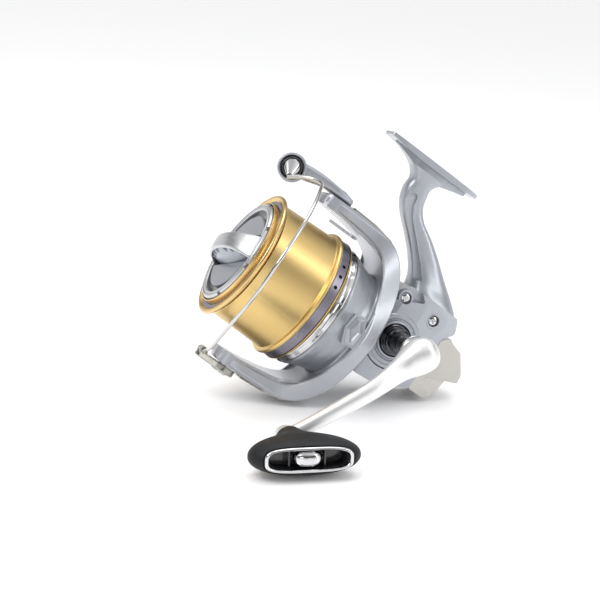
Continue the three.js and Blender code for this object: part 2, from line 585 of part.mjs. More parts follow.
// Inside the arms' pockets: the bail's spring in one, a balance weight in the other.
const springTurns = 7;
const springPoints = Array.from({ length: springTurns * 6 + 1 }, (_, i) => {
  const angle = (i / 6) * 2 * Math.PI;
  const along = 38 + (16 * i) / (springTurns * 6);
  return vec(along, 1.3 * Math.cos(angle), 52.4 + 1.3 * Math.sin(angle));
});
add("bail_spring", tube(springPoints, 0.35, springTurns * 6, 4), STEEL);
add("balance_weight", block(38, 54, -4.6, 4.6, -53.6, -51), BRASS);
const TRIP_PIVOT = vec(50, 0, 0);
const tripLever = join(
  topPlate([[47, -1.8], [66, -1.2], [66, 1.2], [47, 1.8]], 43.6, 45.4),
  bar(2.2, 43.6, 45.4, Z_AXIS, TRIP_PIVOT, 14),
);
add("bail_trip_lever", tripLever, STEEL);

// ---------------------------------------------------------------- bail
const rollerAxis = vec(Math.sin(rad(ROLLER_TILT)), Math.cos(rad(ROLLER_TILT)), 0);
const bailTopZ = BAIL_PLATE_Z + BAIL_PLATE_T;
const BAIL_ARM_TOP = [
  [98, -5.6], [98, 3.4], [86, 4.6], [78, 6.4], [73.5, 8.2], [68, 8.4], [63.4, 6], [61.4, 2],
  [61.2, -2], [63.4, -6], [68, -8.4], [73.5, -8.2], [84, -6.6],
];
const pivotRecess = bar(PIVOT_HEAD_R + GAP, bailTopZ - 1.2, 80, Z_AXIS, vec(BAIL_X, 0, 0), 20);
const housing = turned([
  [-4.4, 0], [-4.4, 5.6], [-3, HOUSING_R], [4.4, HOUSING_R], [4.4, 6.9], [-2, 6.9], [-2, 0],
], rollerAxis, ROLLER_AT, 18);
const bailArmPlate = topPlate(BAIL_ARM_TOP, BAIL_PLATE_Z, bailTopZ);
const housingRoom = bar(7, -2, 12, rollerAxis, ROLLER_AT, 14);
add("bail_arm", cut(
  join(cut(bailArmPlate, housingRoom), housing),
  pivotHole,
  pivotRecess,
  bar(2.2, -8, 8, rollerAxis, ROLLER_AT, 16),
), PAINT);
add("roller_screw", turned([
  [-4.3, 0], [-4.3, 1.8], [5.8, 1.8], [5.8, 3.6], [6.8, 3.4], [8, 2.4], [8.4, 1], [8.4, 0],
], rollerAxis, ROLLER_AT, 14), CHROME);
add("line_roller", turned([
  [-1.6, 2.1], [5.4, 2.1], [5.4, 5.6], [3.6, 5.9], [2.4, 5.2], [1.2, 5.2], [0, 6], [-1.6, 6.2],
], rollerAxis, ROLLER_AT, 14), BLACK);

const HOLDER_TOP = [
  [87.4, -3.4], [87.4, 3], [80, 5.4], [75, 7.4], [69, 8.2], [63.6, 6], [61.4, 2], [61.4, -2],
  [63.6, -6], [69, -8.2], [75, -7.4], [80, -5.6],
];
const holderBoss = bar(2.6, -3.4, 3.6, Y_AXIS, vec(84.4, 0, -56.8), 18);
add("bail_holder", cut(
  join(topPlate(HOLDER_TOP, -bailTopZ, -BAIL_PLATE_Z), holderBoss),
  upsideDown(pivotHole),
  upsideDown(pivotRecess),
), NICKEL);
const WIRE_R = 1;
const wirePoints = [
  vec(84.4, 4.2, -56.8), vec(88.2, 22, -52.5), vec(93.6, 42, -45.4), vec(98.2, 60, -33.8),
  vec(100.5, 73, -15.5), vec(101.7, 77, 6.9), vec(99.6, 69, 28.4), vec(97.2, 57.5, 41.4),
  vec(94.6, 44, 50.2), vec(92.2, 31, 55.4), vec(93.6, 24.5, 55.8), vec(98.3, 18.4, 54.2),
  vec(102.6, 12.8, 50.2), vec(104.9, 10, 51.4), vec(105.4, 9.2, 56.4),
];
add("bail_wire", tube(wirePoints, WIRE_R, 48, 7), CHROME);
for (const [name, side] of [["upper", 1], ["lower", -1]]) {
  const screw = turned([
    [49, 0], [49, PIVOT_SCREW_R], [bailTopZ - 0.9, PIVOT_SCREW_R], [bailTopZ - 0.9, PIVOT_HEAD_R],
    [bailTopZ + 0.3, PIVOT_HEAD_R], [bailTopZ + 0.8, PIVOT_HEAD_R - 0.9], [bailTopZ + 0.8, 0],
  ], Z_AXIS, vec(BAIL_X, 0, 0), 16);
  add("bail_pivot_screw_" + name, side > 0 ? screw : upsideDown(screw), CHROME);
}

// ---------------------------------------------------------------- crank
const hub = turned([
  [-15, 0], [-15, 2.9], [23.6, 2.9], [23.6, 7.6], [26.4, 7.6], [28.4, 5.6], [44, 5.2],
  [48, 6.6], [54.9, 7.2], [54.9, 0],
], Y_AXIS, CRANK_AT, 16);
add("crank_hub", hub, DARK_CHROME);
const along = vec(Math.cos(rad(CRANK_REST)), 0, Math.sin(rad(CRANK_REST)));
const across = vec(-along.z, 0, along.x);
const armPoint = (reach, y) => CRANK_AT.clone().addScaledVector(along, reach).setY(y);
// Sections of the arm: reach from the crank axis, y of its middle, half width and half depth.
const ARM = [
  [-9.4, ARM_ROOT_Y, 3.2, 3.4], [-8, ARM_ROOT_Y, 6.4, 6.6], [-4.5, ARM_ROOT_Y, 9.2, 9.2],
  [0, ARM_ROOT_Y, 9.9, 9.8], [5, ARM_ROOT_Y + 0.6, 9.4, 9], [11, ARM_ROOT_Y + 2, 7.6, 7.2],
  [18, ARM_ROOT_Y + 5.2, 6.2, 5.6], [28, ARM_ROOT_Y + 9.8, 5.4, 4.6], [40, ARM_TIP_Y - 2, 4.9, 4],
  [60, ARM_TIP_Y - 0.4, 4.5, 3.7], [76, ARM_TIP_Y, 4.3, 3.6], [CRANK_REACH, ARM_TIP_Y, 4.3, 3.6],
];
const armBar = loft(ARM.map(([reach, y, half, depth]) =>
  oval(armPoint(reach, y), across, half, Y_AXIS, depth, 2.2, 12)));
const tipAt = armPoint(CRANK_REACH, 0);
const tipBoss = turned([
  [ARM_TIP_Y - 3.9, KNOB_SHAFT_R + GAP], [ARM_TIP_Y + 3.9, KNOB_SHAFT_R + GAP],
  [ARM_TIP_Y + 3.9, 5.4], [ARM_TIP_Y + 2.6, 6.4],
  [ARM_TIP_Y - 2.6, 6.4], [ARM_TIP_Y - 3.9, 5.4],
], Y_AXIS, tipAt, 16);
const tipHole = bar(KNOB_SHAFT_R + GAP, 60, 100, Y_AXIS, tipAt, 12);
const hubSocket = bar(7.5, 30, 55.2, Y_AXIS, CRANK_AT, 16);
add("crank_arm", cut(join(armBar, tipBoss), tipHole, hubSocket), SATIN);
add("knob_shaft", turned([
  [ARM_TIP_Y - 4.4, 0], [ARM_TIP_Y - 4.4, 4.6], [ARM_TIP_Y - 4.15, 4.6],
  [ARM_TIP_Y - 4.15, KNOB_SHAFT_R], [116, KNOB_SHAFT_R], [116, 0],
], Y_AXIS, tipAt, 12), STEEL);

// ---------------------------------------------------------------- knob
const GRIP_SLOPE = -34.2; // the grip's long direction at rest, degrees from +X towards +Z
const GRIP_LONG = vec(Math.cos(rad(GRIP_SLOPE)), 0, Math.sin(rad(GRIP_SLOPE)));
const GRIP_WIDE = vec(-GRIP_LONG.z, 0, GRIP_LONG.x);
// Sections of the grip from its neck to its face: y, half length, half width and squareness.
const GRIP = [
  [83, 6.2, 6.2, 2], [86, 7, 7, 2], [92, 8.4, 7.8, 2], [97, 13, 8.6, 2], [101, 21.5, 9.4, 2.1],
  [105.5, 27.4, 9.9, 2.2], [110.5, 29.4, 9.9, 2.2], [115, 28.8, 9.3, 2.2], [118.6, 26.4, 7.8, 2.3],
  [120.4, 24.2, 6.4, 2.4],
];
const gripBody = loft(GRIP.map(([y, half, wide, square]) =>
  oval(tipAt.clone().setY(y), GRIP_LONG, half, GRIP_WIDE, wide, square, 24)));
const faceOval = (y, half, wide) =>
  oval(tipAt.clone().setY(y), GRIP_LONG, half, GRIP_WIDE, wide, 3.4, 20);
const recess = loft([faceOval(113.5, 20.4, 3.9), faceOval(125, 20.4, 3.9)]);
const bezelSeat = loft([faceOval(118.2, 23.3, 6.2), faceOval(125, 23.3, 6.2)]);
const gripBore = bar(4.7, 70, 100, Y_AXIS, tipAt, 20);
const gripInner = bar(3, 90, 116, Y_AXIS, tipAt, 20);
add("knob_grip", cut(gripBody, recess, bezelSeat, gripBore, gripInner), RUBBER);
add("knob_bezel", cut(
  loft([faceOval(118.5, 22.9, 5.8), faceOval(121.2, 22.9, 5.8), faceOval(121.8, 22.3, 5.2)]),
  loft([faceOval(110, 20.8, 4.1), faceOval(130, 20.8, 4.1)]),
), CHROME);
add("knob_bush", ring(KNOB_SHAFT_R + GAP, 4.4, 84, 99.6, Y_AXIS, tipAt, 20), BRASS);
add("knob_cap", turned([
  [116.3, 0], [116.3, 3.3], [118.4, 3.3], [120.2, 2.5], [121, 1.2], [121.2, 0],
], Y_AXIS, tipAt, 12), CHROME);

// ---------------------------------------------------------------- lying at rest
// The three places where the reel touches the surface it lies on, in the reel's own axes.
const CONTACTS = [vec(25, -18.2, -49.8), vec(-41.2, -13.6, -6), vec(37.5, 110.5, -75.6)];
const up = new THREE.Plane().setFromCoplanarPoints(...CONTACTS).normal;
if (up.z < 0) up.negate();
const nose = X_AXIS.clone().addScaledVector(up, -up.x).normalize().negate();
const laidDown = new THREE.Matrix4().makeBasis(nose, new THREE.Vector3().crossVectors(up, nose), up);
reel.quaternion.setFromRotationMatrix(laidDown.invert());
reel.updateMatrixWorld(true);
const box = new THREE.Box3().setFromObject(reel, true);
reel.position.set(-(box.min.x + box.max.x) / 2, -(box.min.y + box.max.y) / 2, -box.min.z);

const spinningReel = new THREE.Group();
spinningReel.add(reel);

export default spinningReel;
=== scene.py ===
"""Long-cast spinning reel: the detailed pieces, finishes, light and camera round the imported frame.

Pieces are drawn in millimetres in the reel's own axes: X along the spool axis to the nose, Y along
the crank axis to the handle, Z towards the rod, origin where the crank axis passes over the spool
axis. Each object carries the matrix that puts those axes in the frame.
"""
import json
import math

import bmesh
import bpy
from mathutils import Matrix, Vector


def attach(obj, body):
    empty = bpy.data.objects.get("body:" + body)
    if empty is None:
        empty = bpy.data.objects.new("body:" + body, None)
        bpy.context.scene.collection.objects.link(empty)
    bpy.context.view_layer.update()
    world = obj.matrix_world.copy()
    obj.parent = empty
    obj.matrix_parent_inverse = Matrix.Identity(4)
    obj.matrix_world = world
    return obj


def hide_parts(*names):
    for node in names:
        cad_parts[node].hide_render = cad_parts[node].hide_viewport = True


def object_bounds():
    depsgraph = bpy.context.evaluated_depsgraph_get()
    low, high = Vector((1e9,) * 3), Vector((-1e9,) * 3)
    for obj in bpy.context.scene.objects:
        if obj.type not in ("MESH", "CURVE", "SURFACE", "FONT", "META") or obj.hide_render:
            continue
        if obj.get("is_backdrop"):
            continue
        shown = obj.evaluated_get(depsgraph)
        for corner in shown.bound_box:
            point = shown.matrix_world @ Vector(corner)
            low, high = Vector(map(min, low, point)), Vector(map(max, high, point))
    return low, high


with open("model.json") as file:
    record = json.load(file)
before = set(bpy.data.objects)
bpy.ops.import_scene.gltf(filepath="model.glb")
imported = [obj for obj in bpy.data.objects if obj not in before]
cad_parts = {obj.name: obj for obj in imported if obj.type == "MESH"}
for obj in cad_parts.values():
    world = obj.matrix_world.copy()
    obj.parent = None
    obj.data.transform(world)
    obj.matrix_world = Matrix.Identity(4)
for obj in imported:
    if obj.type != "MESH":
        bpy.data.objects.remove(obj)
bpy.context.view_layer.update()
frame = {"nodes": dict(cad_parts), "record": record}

# ------------------------------------------------------------------ reel axes in the frame
JOINT = {j["name"]: j for j in frame["record"]["behaviour"]["joints"]}
EX = Vector(JOINT["rotor_turn"]["axis"]).normalized()
EY = Vector(JOINT["crank_turn"]["axis"]).normalized()
EZ = EX.cross(EY)
ON_SPOOL_AXIS = Vector(JOINT["rotor_turn"]["pos_m"])
ON_CRANK_AXIS = Vector(JOINT["crank_turn"]["pos_m"])
ORIGIN = ON_SPOOL_AXIS + EX * (ON_CRANK_AXIS - ON_SPOOL_AXIS).dot(EX)
MM = 0.001
TURN = Matrix((EX, EY, EZ)).transposed().to_4x4()
TO_ROW = Matrix.Translation(ORIGIN) @ TURN @ Matrix.Scale(MM, 4)
FROM_ROW = TO_ROW.inverted()
REEL_PLACE, reel_turn, REEL_SCALE = FROM_ROW.decompose()
REEL_TURN = reel_turn.to_euler()

CRANK_Z = (FROM_ROW @ ON_CRANK_AXIS).z
TIP = FROM_ROW @ Vector(JOINT["knob_turn"]["pos_m"])
BAIL_X = (FROM_ROW @ Vector(JOINT["bail_swing"]["pos_m"])).x
ROLLER_AT = FROM_ROW @ Vector(JOINT["line_roller_turn"]["pos_m"])
ROLLER_AXIS = TURN.inverted().to_3x3() @ Vector(JOINT["line_roller_turn"]["axis"])
CRANK_AT = Vector((0, 0, CRANK_Z))
AXIS_X = Vector((1, 0, 0))
AXIS_Y = Vector((0, 1, 0))
AXIS_Z = Vector((0, 0, 1))
ZERO = Vector((0, 0, 0))

scene = bpy.context.scene


# ------------------------------------------------------------------ shape helpers
def fillet(points, radius, steps=5, closed=True):
    """Rounds the corners of a polyline."""
    pts = [Vector(p) for p in points]
    out = []
    for i, p in enumerate(pts):
        if not closed and i in (0, len(pts) - 1):
            out.append(p)
            continue
        before, after = pts[i - 1], pts[(i + 1) % len(pts)]
        a, b = before - p, after - p
        reach = min(radius, 0.45 * a.length, 0.45 * b.length)
        if reach < 1e-4 or abs(a.angle(b) - math.pi) < 0.05:
            out.append(p)
            continue
        p0, p2 = p + a.normalized() * reach, p + b.normalized() * reach
        for k in range(steps + 1):
            t = k / steps
            out.append((1 - t) ** 2 * p0 + 2 * t * (1 - t) * p + t * t * p2)
    return out


def spline(points, per=8, closed=False):
    """A smooth curve through points of any dimension."""
    pts = [Vector(p) for p in points]
    n = len(pts)
    out = []
    for i in range(n if closed else n - 1):
        if closed:
            a, b, c, d = (pts[(i + k) % n] for k in (-1, 0, 1, 2))
        else:
            b, c = pts[i], pts[i + 1]
            a = pts[i - 1] if i else b - (c - b)
            d = pts[i + 2] if i + 2 < n else c + (c - b)
        for k in range(per):
            t = k / per
            out.append(0.5 * (2 * b + (c - a) * t + (2 * a - 5 * b + 4 * c - d) * t * t
                              + (3 * b - a - 3 * c + d) * t ** 3))
    if not closed:
        out.append(pts[-1])
    return out


def mirrored(half):
    """Closed outline from one side's (x, half width) points."""
    return [tuple(p) for p in half] + [(p[0], -p[1]) for p in reversed(half)]


def build(verts, faces):
    me = bpy.data.meshes.new("part")
    me.from_pydata([tuple(v) for v in verts], [], faces)
    bm = bmesh.new()
    bm.from_mesh(me)
    bmesh.ops.remove_doubles(bm, verts=bm.verts, dist=1e-4)
    bmesh.ops.dissolve_degenerate(bm, edges=bm.edges, dist=1e-5)
    bmesh.ops.recalc_face_normals(bm, faces=bm.faces)
    bm.to_mesh(me)
    bm.free()
    return me


def skin(rings, closed=False):
    """A skin over rings with the same count, capped at both ends unless it closes on itself."""
    n = len(rings[0])
    faces = []
    for r in range(len(rings) if closed else len(rings) - 1):
        a, b = r * n, ((r + 1) % len(rings)) * n
        faces += [(a + i, a + (i + 1) % n, b + (i + 1) % n, b + i) for i in range(n)]
    if not closed:
        last = (len(rings) - 1) * n
        faces += [tuple(reversed(range(n))), tuple(last + i for i in range(n))]
    return build([p for ring in rings for p in ring], faces)


def lathe(profile, axis=AXIS_X, at=ZERO, sides=144, soft=0.35, steps=3):
    """A turned piece from a closed profile of (along, radius) points with softened corners."""
    turn = AXIS_X.rotation_difference(axis)
    points = [(p[0], max(p[1], 0)) for p in fillet(profile, soft, steps)] if soft else profile
    rings = []
    for k in range(sides):
        angle = 2 * math.pi * k / sides
        c, s = math.cos(angle), math.sin(angle)
        rings.append([turn @ Vector((x, r * c, r * s)) + at for x, r in points])
    return skin(rings, closed=True)


def inset(outline, d):
    """The outline moved inwards by d. It runs either way round."""
    pts = [Vector(p[:2]) for p in outline]
    n = len(pts)
    area = sum(pts[i - 1].x * pts[i].y - pts[i].x * pts[i - 1].y for i in range(n))
    side = 1 if area > 0 else -1
    out = []
    for i, p in enumerate(pts):
        a, b = (p - pts[i - 1]).normalized(), (pts[(i + 1) % n] - p).normalized()
        na, nb = Vector((-a.y, a.x)) * side, Vector((-b.y, b.x)) * side
        m = na + nb
        m = m / max(m.length_squared / 2, 0.5) if m.length > 1e-6 else na
        out.append(p + m * d)
    return out


PLANES = {
    "xz": lambda u, v, w: Vector((u, w, v)),
    "xy": lambda u, v, w: Vector((u, v, w)),
    "yz": lambda u, v, w: Vector((w, u, v)),
}


def plate(outline, low, high, plane, edge=0.0, steps=3, low_edge=None):
    """An outline made thick along the third direction, with rounded edges."""
    place = PLANES[plane]
    low_edge = edge if low_edge is None else low_edge
    rings = []
    if low_edge:
        for k in range(steps + 1):
            a = math.pi / 2 * k / steps
            rings.append((low + low_edge * (1 - math.cos(a)), low_edge * (1 - math.sin(a))))
    else:
        rings.append((low, 0))
    if edge:
        for k in range(steps + 1):
            a = math.pi / 2 * k / steps
            rings.append((high - edge * (1 - math.sin(a)), edge * (1 - math.cos(a))))
    else:
        rings.append((high, 0))
    return skin([[place(p[0], p[1], w) for p in inset(outline, d)] for w, d in rings])


def oval(centre, across, half_across, along, half_along, square=2.0, sides=48):
    points = []
    for i in range(sides):
        angle = 2 * math.pi * (i + 0.5) / sides
        c, s = math.cos(angle), math.sin(angle)
        u = math.copysign(abs(c) ** (2 / square), c) * half_across
        v = math.copysign(abs(s) ** (2 / square), s) * half_along
        points.append(centre + across * u + along * v)
    return points


def sweep(path, radius, sides=16, shape=None):
    """A tube along a path. shape(t) gives (wide, high) factors along it."""
    pts = [Vector(p) for p in path]
    tangent = (pts[1] - pts[0]).normalized()
    side = tangent.orthogonal().normalized()
    rings = []
    for i, p in enumerate(pts):
        ahead = (pts[min(i + 1, len(pts) - 1)] - pts[max(i - 1, 0)]).normalized()
        side = tangent.rotation_difference(ahead) @ side
        tangent = ahead
        up = tangent.cross(side).normalized()
        wide, high = shape(i / (len(pts) - 1)) if shape else (1, 1)
        rings.append([p + side * (radius * wide * math.cos(2 * math.pi * k / sides))
                      + up * (radius * high * math.sin(2 * math.pi * k / sides))
                      for k in range(sides)])
    return skin(rings)


def modified(me, *settings):
    """The mesh with a stack of modifiers applied."""
    ob = bpy.data.objects.new("work", me)
    scene.collection.objects.link(ob)
    extra = []
    for kind, values in settings:
        mod = ob.modifiers.new(kind, kind)
        for key, value in values.items():
            if isinstance(value, bpy.types.Mesh):
                helper = bpy.data.objects.new("helper", value)
                scene.collection.objects.link(helper)
                extra.append(helper)
                value = helper
            setattr(mod, key, value)
    bpy.context.view_layer.update()
    graph = bpy.context.evaluated_depsgraph_get()
    out = bpy.data.meshes.new_from_object(ob.evaluated_get(graph))
    for helper in [ob, *extra]:
        bpy.data.objects.remove(helper)
    return out


def boolean(me, operation, *others):
    return modified(me, *[("BOOLEAN", {"operation": operation, "solver": "EXACT", "object": o})
                          for o in others])


def cut(me, *others):
    return boolean(me, "DIFFERENCE", *others)


def join(me, *others):
    return boolean(me, "UNION", *others)


def common(me, *others):
    return boolean(me, "INTERSECT", *others)


def bevelled(me, width, angle=32, segments=3):
    return modified(me, ("BEVEL", {"width": width, "segments": segments, "limit_method": "ANGLE",
                                   "angle_limit": math.radians(angle), "use_clamp_overlap": True}))


def chamfered(me, width):
    """Cuts the long edges between a side facing Y and the surface that faces the spool axis."""
    bm = bmesh.new()
    bm.from_mesh(me)
    edges = []
    for edge in bm.edges:
        if len(edge.link_faces) != 2:
            continue
        a, b = sorted((f.normal for f in edge.link_faces), key=lambda n: abs(n.y))
        middle = (edge.verts[0].co + edge.verts[1].co) / 2
        if abs(a.y) < 0.3 and abs(b.y) > 0.5 and a.z < -0.15 and 27 < middle.x < 74:
            edges.append(edge)
    bmesh.ops.bevel(bm, geom=edges, offset=width, segments=1, affect="EDGES", clamp_overlap=True)
    out = bpy.data.meshes.new("part")
    bm.to_mesh(out)
    bm.free()
    return out


def moved(me, matrix):
    out = me.copy()
    out.transform(matrix)
    if matrix.determinant() < 0:
        out.flip_normals()
    return out


UPSIDE_DOWN = Matrix.Diagonal((1, 1, -1, 1))


def together(*meshes):
    """Separate shells of one piece in one mesh."""
    bm = bmesh.new()
    for me in meshes:
        bm.from_mesh(me)
    out = bpy.data.meshes.new("part")
    bm.to_mesh(out)
    bm.free()
    return out


def block(x0, x1, y0, y1, z0, z1, edge=0.0):
    return plate([(x0, y0), (x1, y0), (x1, y1), (x0, y1)], z0, z1, "xy", edge)


def rod(radius, low, high, axis=AXIS_X, at=ZERO, sides=64, edge=0.0):
    return lathe([(low, 0), (low, radius), (high, radius), (high, 0)], axis, at, sides, edge)


def piece(name, me, finish, body, nodes=(), angle=35):
    """A shown piece: it takes its finish, rides on its body and stands for its CAD nodes."""
    me = moved(me, TO_ROW)
    me.name = name
    me.materials.clear()
    me.materials.append(MATERIAL[finish])
    me.shade_smooth()
    me.set_sharp_from_angle(angle=math.radians(angle))
    ob = bpy.data.objects.new(name, me)
    scene.collection.objects.link(ob)
    weighted = ob.modifiers.new("normals", "WEIGHTED_NORMAL")
    weighted.keep_sharp = True
    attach(ob, body)
    if nodes:
        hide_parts(*nodes)
    return ob


# ------------------------------------------------------------------ finishes
MATERIAL = {}


class Tree:
    """Short names for the nodes that the finishes are made from."""

    def __init__(self, name):
        self.material = bpy.data.materials.new(name)
        self.material.use_nodes = True
        self.nodes = self.material.node_tree.nodes
        self.links = self.material.node_tree.links
        self.shader = self.nodes["Principled BSDF"]

    def node(self, kind, inputs=None, **settings):
        made = self.nodes.new(kind)
        for key, value in settings.items():
            setattr(made, key, value)
        for key, value in (inputs or {}).items():
            if isinstance(value, bpy.types.NodeSocket):
                self.links.new(value, made.inputs[key])
            else:
                made.inputs[key].default_value = value
        return made

    def noise(self, vector, scale, detail=3.0, rough=0.55):
        return self.node("ShaderNodeTexNoise", {"Vector": vector, "Scale": scale, "Detail": detail,
                                                "Roughness": rough}).outputs["Fac"]

    def ranged(self, value, low, high, from_low=0.3, from_high=0.7):
        return self.node("ShaderNodeMapRange", {"Value": value, "From Min": from_low,
                                                "From Max": from_high, "To Min": low,
                                                "To Max": high}).outputs["Result"]


def finish(name, slot, color, metallic, rough, spread=0.05, second=None, grain="cast",
           bump=0.1, anisotropic=0.0, coat=0.0, coat_rough=0.1, patch=0.05, scale=1.0, specular=0.5,
           sheen=0.0, wear=0.35, depth=0.25):
    """A finish. grain is how the surface was made: cast, turned (round X), turned_y, brushed
    (along X), polished, moulded or felt. wear is how bare the edges are and depth is how dark the
    fine marks are."""
    t = Tree(name)
    at = t.node("ShaderNodeTexCoord").outputs["Object"]
    mm = t.node("ShaderNodeMapping", {"Vector": at, "Location": REEL_PLACE, "Rotation": REEL_TURN,
                                      "Scale": REEL_SCALE}).outputs["Vector"]
    second = second or tuple(0.92 * c for c in color)
    broad = t.noise(mm, patch, 3.0)
    if grain in ("turned", "turned_y"):
        split = t.node("ShaderNodeSeparateXYZ", {"Vector": mm})
        along, u, v = ("X", "Y", "Z") if grain == "turned" else ("Y", "X", "Z")
        offset = 0.0 if grain == "turned" else CRANK_Z
        lift = t.node("ShaderNodeMath", {0: split.outputs[v], 1: offset}, operation="SUBTRACT").outputs[0]
        uu = t.node("ShaderNodeMath", {0: split.outputs[u], 1: split.outputs[u]},
                    operation="MULTIPLY").outputs[0]
        vv = t.node("ShaderNodeMath", {0: lift, 1: lift}, operation="MULTIPLY").outputs[0]
        radius = t.node("ShaderNodeMath", {0: t.node("ShaderNodeMath", {0: uu, 1: vv}).outputs[0]},
                        operation="SQRT").outputs[0]
        lines = t.node("ShaderNodeCombineXYZ", {"X": split.outputs[along], "Y": radius}).outputs[0]
        fine = t.noise(lines, 9.0 * scale, 2.0, 0.7)
    elif grain == "brushed":
        lines = t.node("ShaderNodeMapping", {"Vector": mm, "Scale": (0.25, 7, 7)}).outputs["Vector"]
        fine = t.noise(lines, scale, 3.0, 0.65)
    elif grain == "moulded":
        fine = t.noise(mm, 3.2 * scale, 5.0, 0.7)
    elif grain == "felt":
        fine = t.noise(mm, 6.0 * scale, 8.0, 0.8)
    elif grain == "polished":
        lines = t.node("ShaderNodeMapping", {"Vector": mm, "Scale": (0.6, 1.1, 4.5)}).outputs["Vector"]
        fine = t.noise(lines, 0.8 * scale, 5.0, 0.8)
    else:
        fine = t.noise(mm, 9.0 * scale, 3.0, 0.6)
    rubbed = t.noise(mm, 0.5, 5.0, 0.7)
    tone = t.node("ShaderNodeMix", {"Factor": t.ranged(broad, 0.0, 1.0),
                                    "A": (*color, 1), "B": (*second, 1)}, data_type="RGBA")
    marked = t.node("ShaderNodeMix", {"Factor": t.ranged(fine, 0.0, depth),
                                      "A": tone.outputs["Result"],
                                      "B": (*[0.75 * c for c in color], 1)}, data_type="RGBA")
    point = t.node("ShaderNodeNewGeometry").outputs["Pointiness"]
    edge = t.node("ShaderNodeMath", {0: t.ranged(point, 0.0, wear, 0.515, 0.6),
                                     1: t.ranged(rubbed, 0.2, 1.0)}, operation="MULTIPLY").outputs[0]
    bare = tuple(min(0.95, 1.35 * c + 0.05) for c in color)
    worn = t.node("ShaderNodeMix", {"Factor": edge, "A": marked.outputs["Result"],
                                    "B": (*bare, 1)}, data_type="RGBA")
    t.links.new(worn.outputs["Result"], t.shader.inputs["Base Color"])
    scuff = t.node("ShaderNodeMath", {0: t.ranged(rubbed, 0.0, 0.5 * spread),
                                      1: t.ranged(fine, rough - spread / 2, rough + spread / 2)})
    t.links.new(scuff.outputs[0], t.shader.inputs["Roughness"])
    t.shader.inputs["Metallic"].default_value = metallic
    t.shader.inputs["Coat Weight"].default_value = coat
    t.shader.inputs["Coat Roughness"].default_value = coat_rough
    t.shader.inputs["Specular IOR Level"].default_value = specular
    t.shader.inputs["Sheen Weight"].default_value = sheen
    if anisotropic:
        t.shader.inputs["Anisotropic"].default_value = anisotropic
        place = t.node("ShaderNodeNewGeometry").outputs["Position"]
        arm = t.node("ShaderNodeVectorMath", {0: place, 1: tuple(ON_SPOOL_AXIS)},
                     operation="SUBTRACT").outputs[0]
        around = t.node("ShaderNodeVectorMath", {0: tuple(EX), 1: arm}, operation="CROSS_PRODUCT")
        t.links.new(around.outputs[0], t.shader.inputs["Tangent"])
    if bump:
        relief = t.node("ShaderNodeBump", {"Strength": bump, "Distance": 0.0002, "Height": fine})
        t.links.new(relief.outputs["Normal"], t.shader.inputs["Normal"])
    MATERIAL[name] = t.material


finish("paint_silver", "paint", (0.36, 0.375, 0.41), 0.6, 0.3, 0.06, (0.345, 0.36, 0.395),
       coat=0.3, coat_rough=0.12, bump=0.08)
# The band paint is a lighter copy of paint_silver: a painted highlight on the bevelled rotor band.
finish("paint_band_painted_highlight", "paint", (0.40, 0.415, 0.45), 0.6, 0.3, 0.06, coat=0.3, bump=0.06)
finish("ring_silver", "paint_dark", (0.52, 0.53, 0.54), 0.85, 0.3, 0.05, coat=0.3, bump=0.04,
       depth=0.1)
finish("paint_moon", "paint_dark", (0.24, 0.25, 0.285), 0.6, 0.32, 0.05, coat=0.3, bump=0.04)
finish("paint_core", "paint_dark", (0.33, 0.35, 0.40), 0.35, 0.34, 0.05, coat=0.3, bump=0.05)
finish("beige_silver", "beige", (0.46, 0.445, 0.42), 0.7, 0.3, 0.06, (0.44, 0.425, 0.40), coat=0.3,
       bump=0.08)
finish("gold_turned", "gold", (0.72, 0.52, 0.215), 1.0, 0.3, 0.03, (0.71, 0.51, 0.205),
       grain="turned", bump=0.05, anisotropic=0.7, patch=0.02, depth=0.1, scale=0.5)
finish("gold_lip", "gold", (0.72, 0.51, 0.23), 1.0, 0.25, 0.03, (0.71, 0.50, 0.22), grain="turned",
       bump=0.04, anisotropic=0.6, depth=0.1)
finish("lilac_turned", "lilac", (0.25, 0.235, 0.28), 1.0, 0.26, 0.04, (0.235, 0.22, 0.265),
       grain="turned", bump=0.06, anisotropic=0.7, depth=0.2)
finish("satin_aluminium", "satin", (0.80, 0.80, 0.80), 0.8, 0.36, 0.05, (0.78, 0.78, 0.78),
       coat=0.2, coat_rough=0.12, bump=0.03, depth=0.1)
finish("nickel", "nickel", (0.42, 0.41, 0.38), 1.0, 0.18, 0.06, (0.38, 0.37, 0.34), grain="brushed",
       bump=0.05, depth=0.2)
finish("chrome_polished", "chrome", (0.62, 0.62, 0.63), 1.0, 0.08, 0.04, (0.60, 0.60, 0.61),
       grain="polished", bump=0.015, depth=0.15)
finish("chrome_wire", "chrome", (0.60, 0.59, 0.57), 1.0, 0.14, 0.05, grain="polished", bump=0.02,
       depth=0.2)
finish("dark_chrome", "dark_chrome", (0.075, 0.077, 0.085), 1.0, 0.1, 0.05, (0.06, 0.06, 0.07),
       grain="turned_y", bump=0.03, coat=0.6, coat_rough=0.05)
finish("rubber_grip", "rubber", (0.012, 0.013, 0.015), 0.0, 0.5, 0.1, (0.009, 0.010, 0.012),
       grain="moulded", bump=0.25, specular=0.22, wear=0.1)
finish("black_gloss", "black", (0.012, 0.012, 0.014), 0.0, 0.16, 0.06, (0.02, 0.02, 0.022),
       grain="polished", bump=0.03, coat=0.5)
finish("steel_ground", "steel", (0.50, 0.50, 0.51), 1.0, 0.24, 0.1, grain="turned", bump=0.15,
       scale=0.6)
finish("steel_inside", "steel", (0.48, 0.48, 0.49), 1.0, 0.28, 0.12, grain="cast",
       bump=0.1)
finish("brass_inside", "brass", (0.62, 0.44, 0.18), 1.0, 0.28, 0.12, (0.50, 0.34, 0.13),
       bump=0.1)
finish("bronze_inside", "bronze", (0.48, 0.33, 0.15), 1.0, 0.32, 0.12, (0.38, 0.25, 0.11),
       bump=0.12)
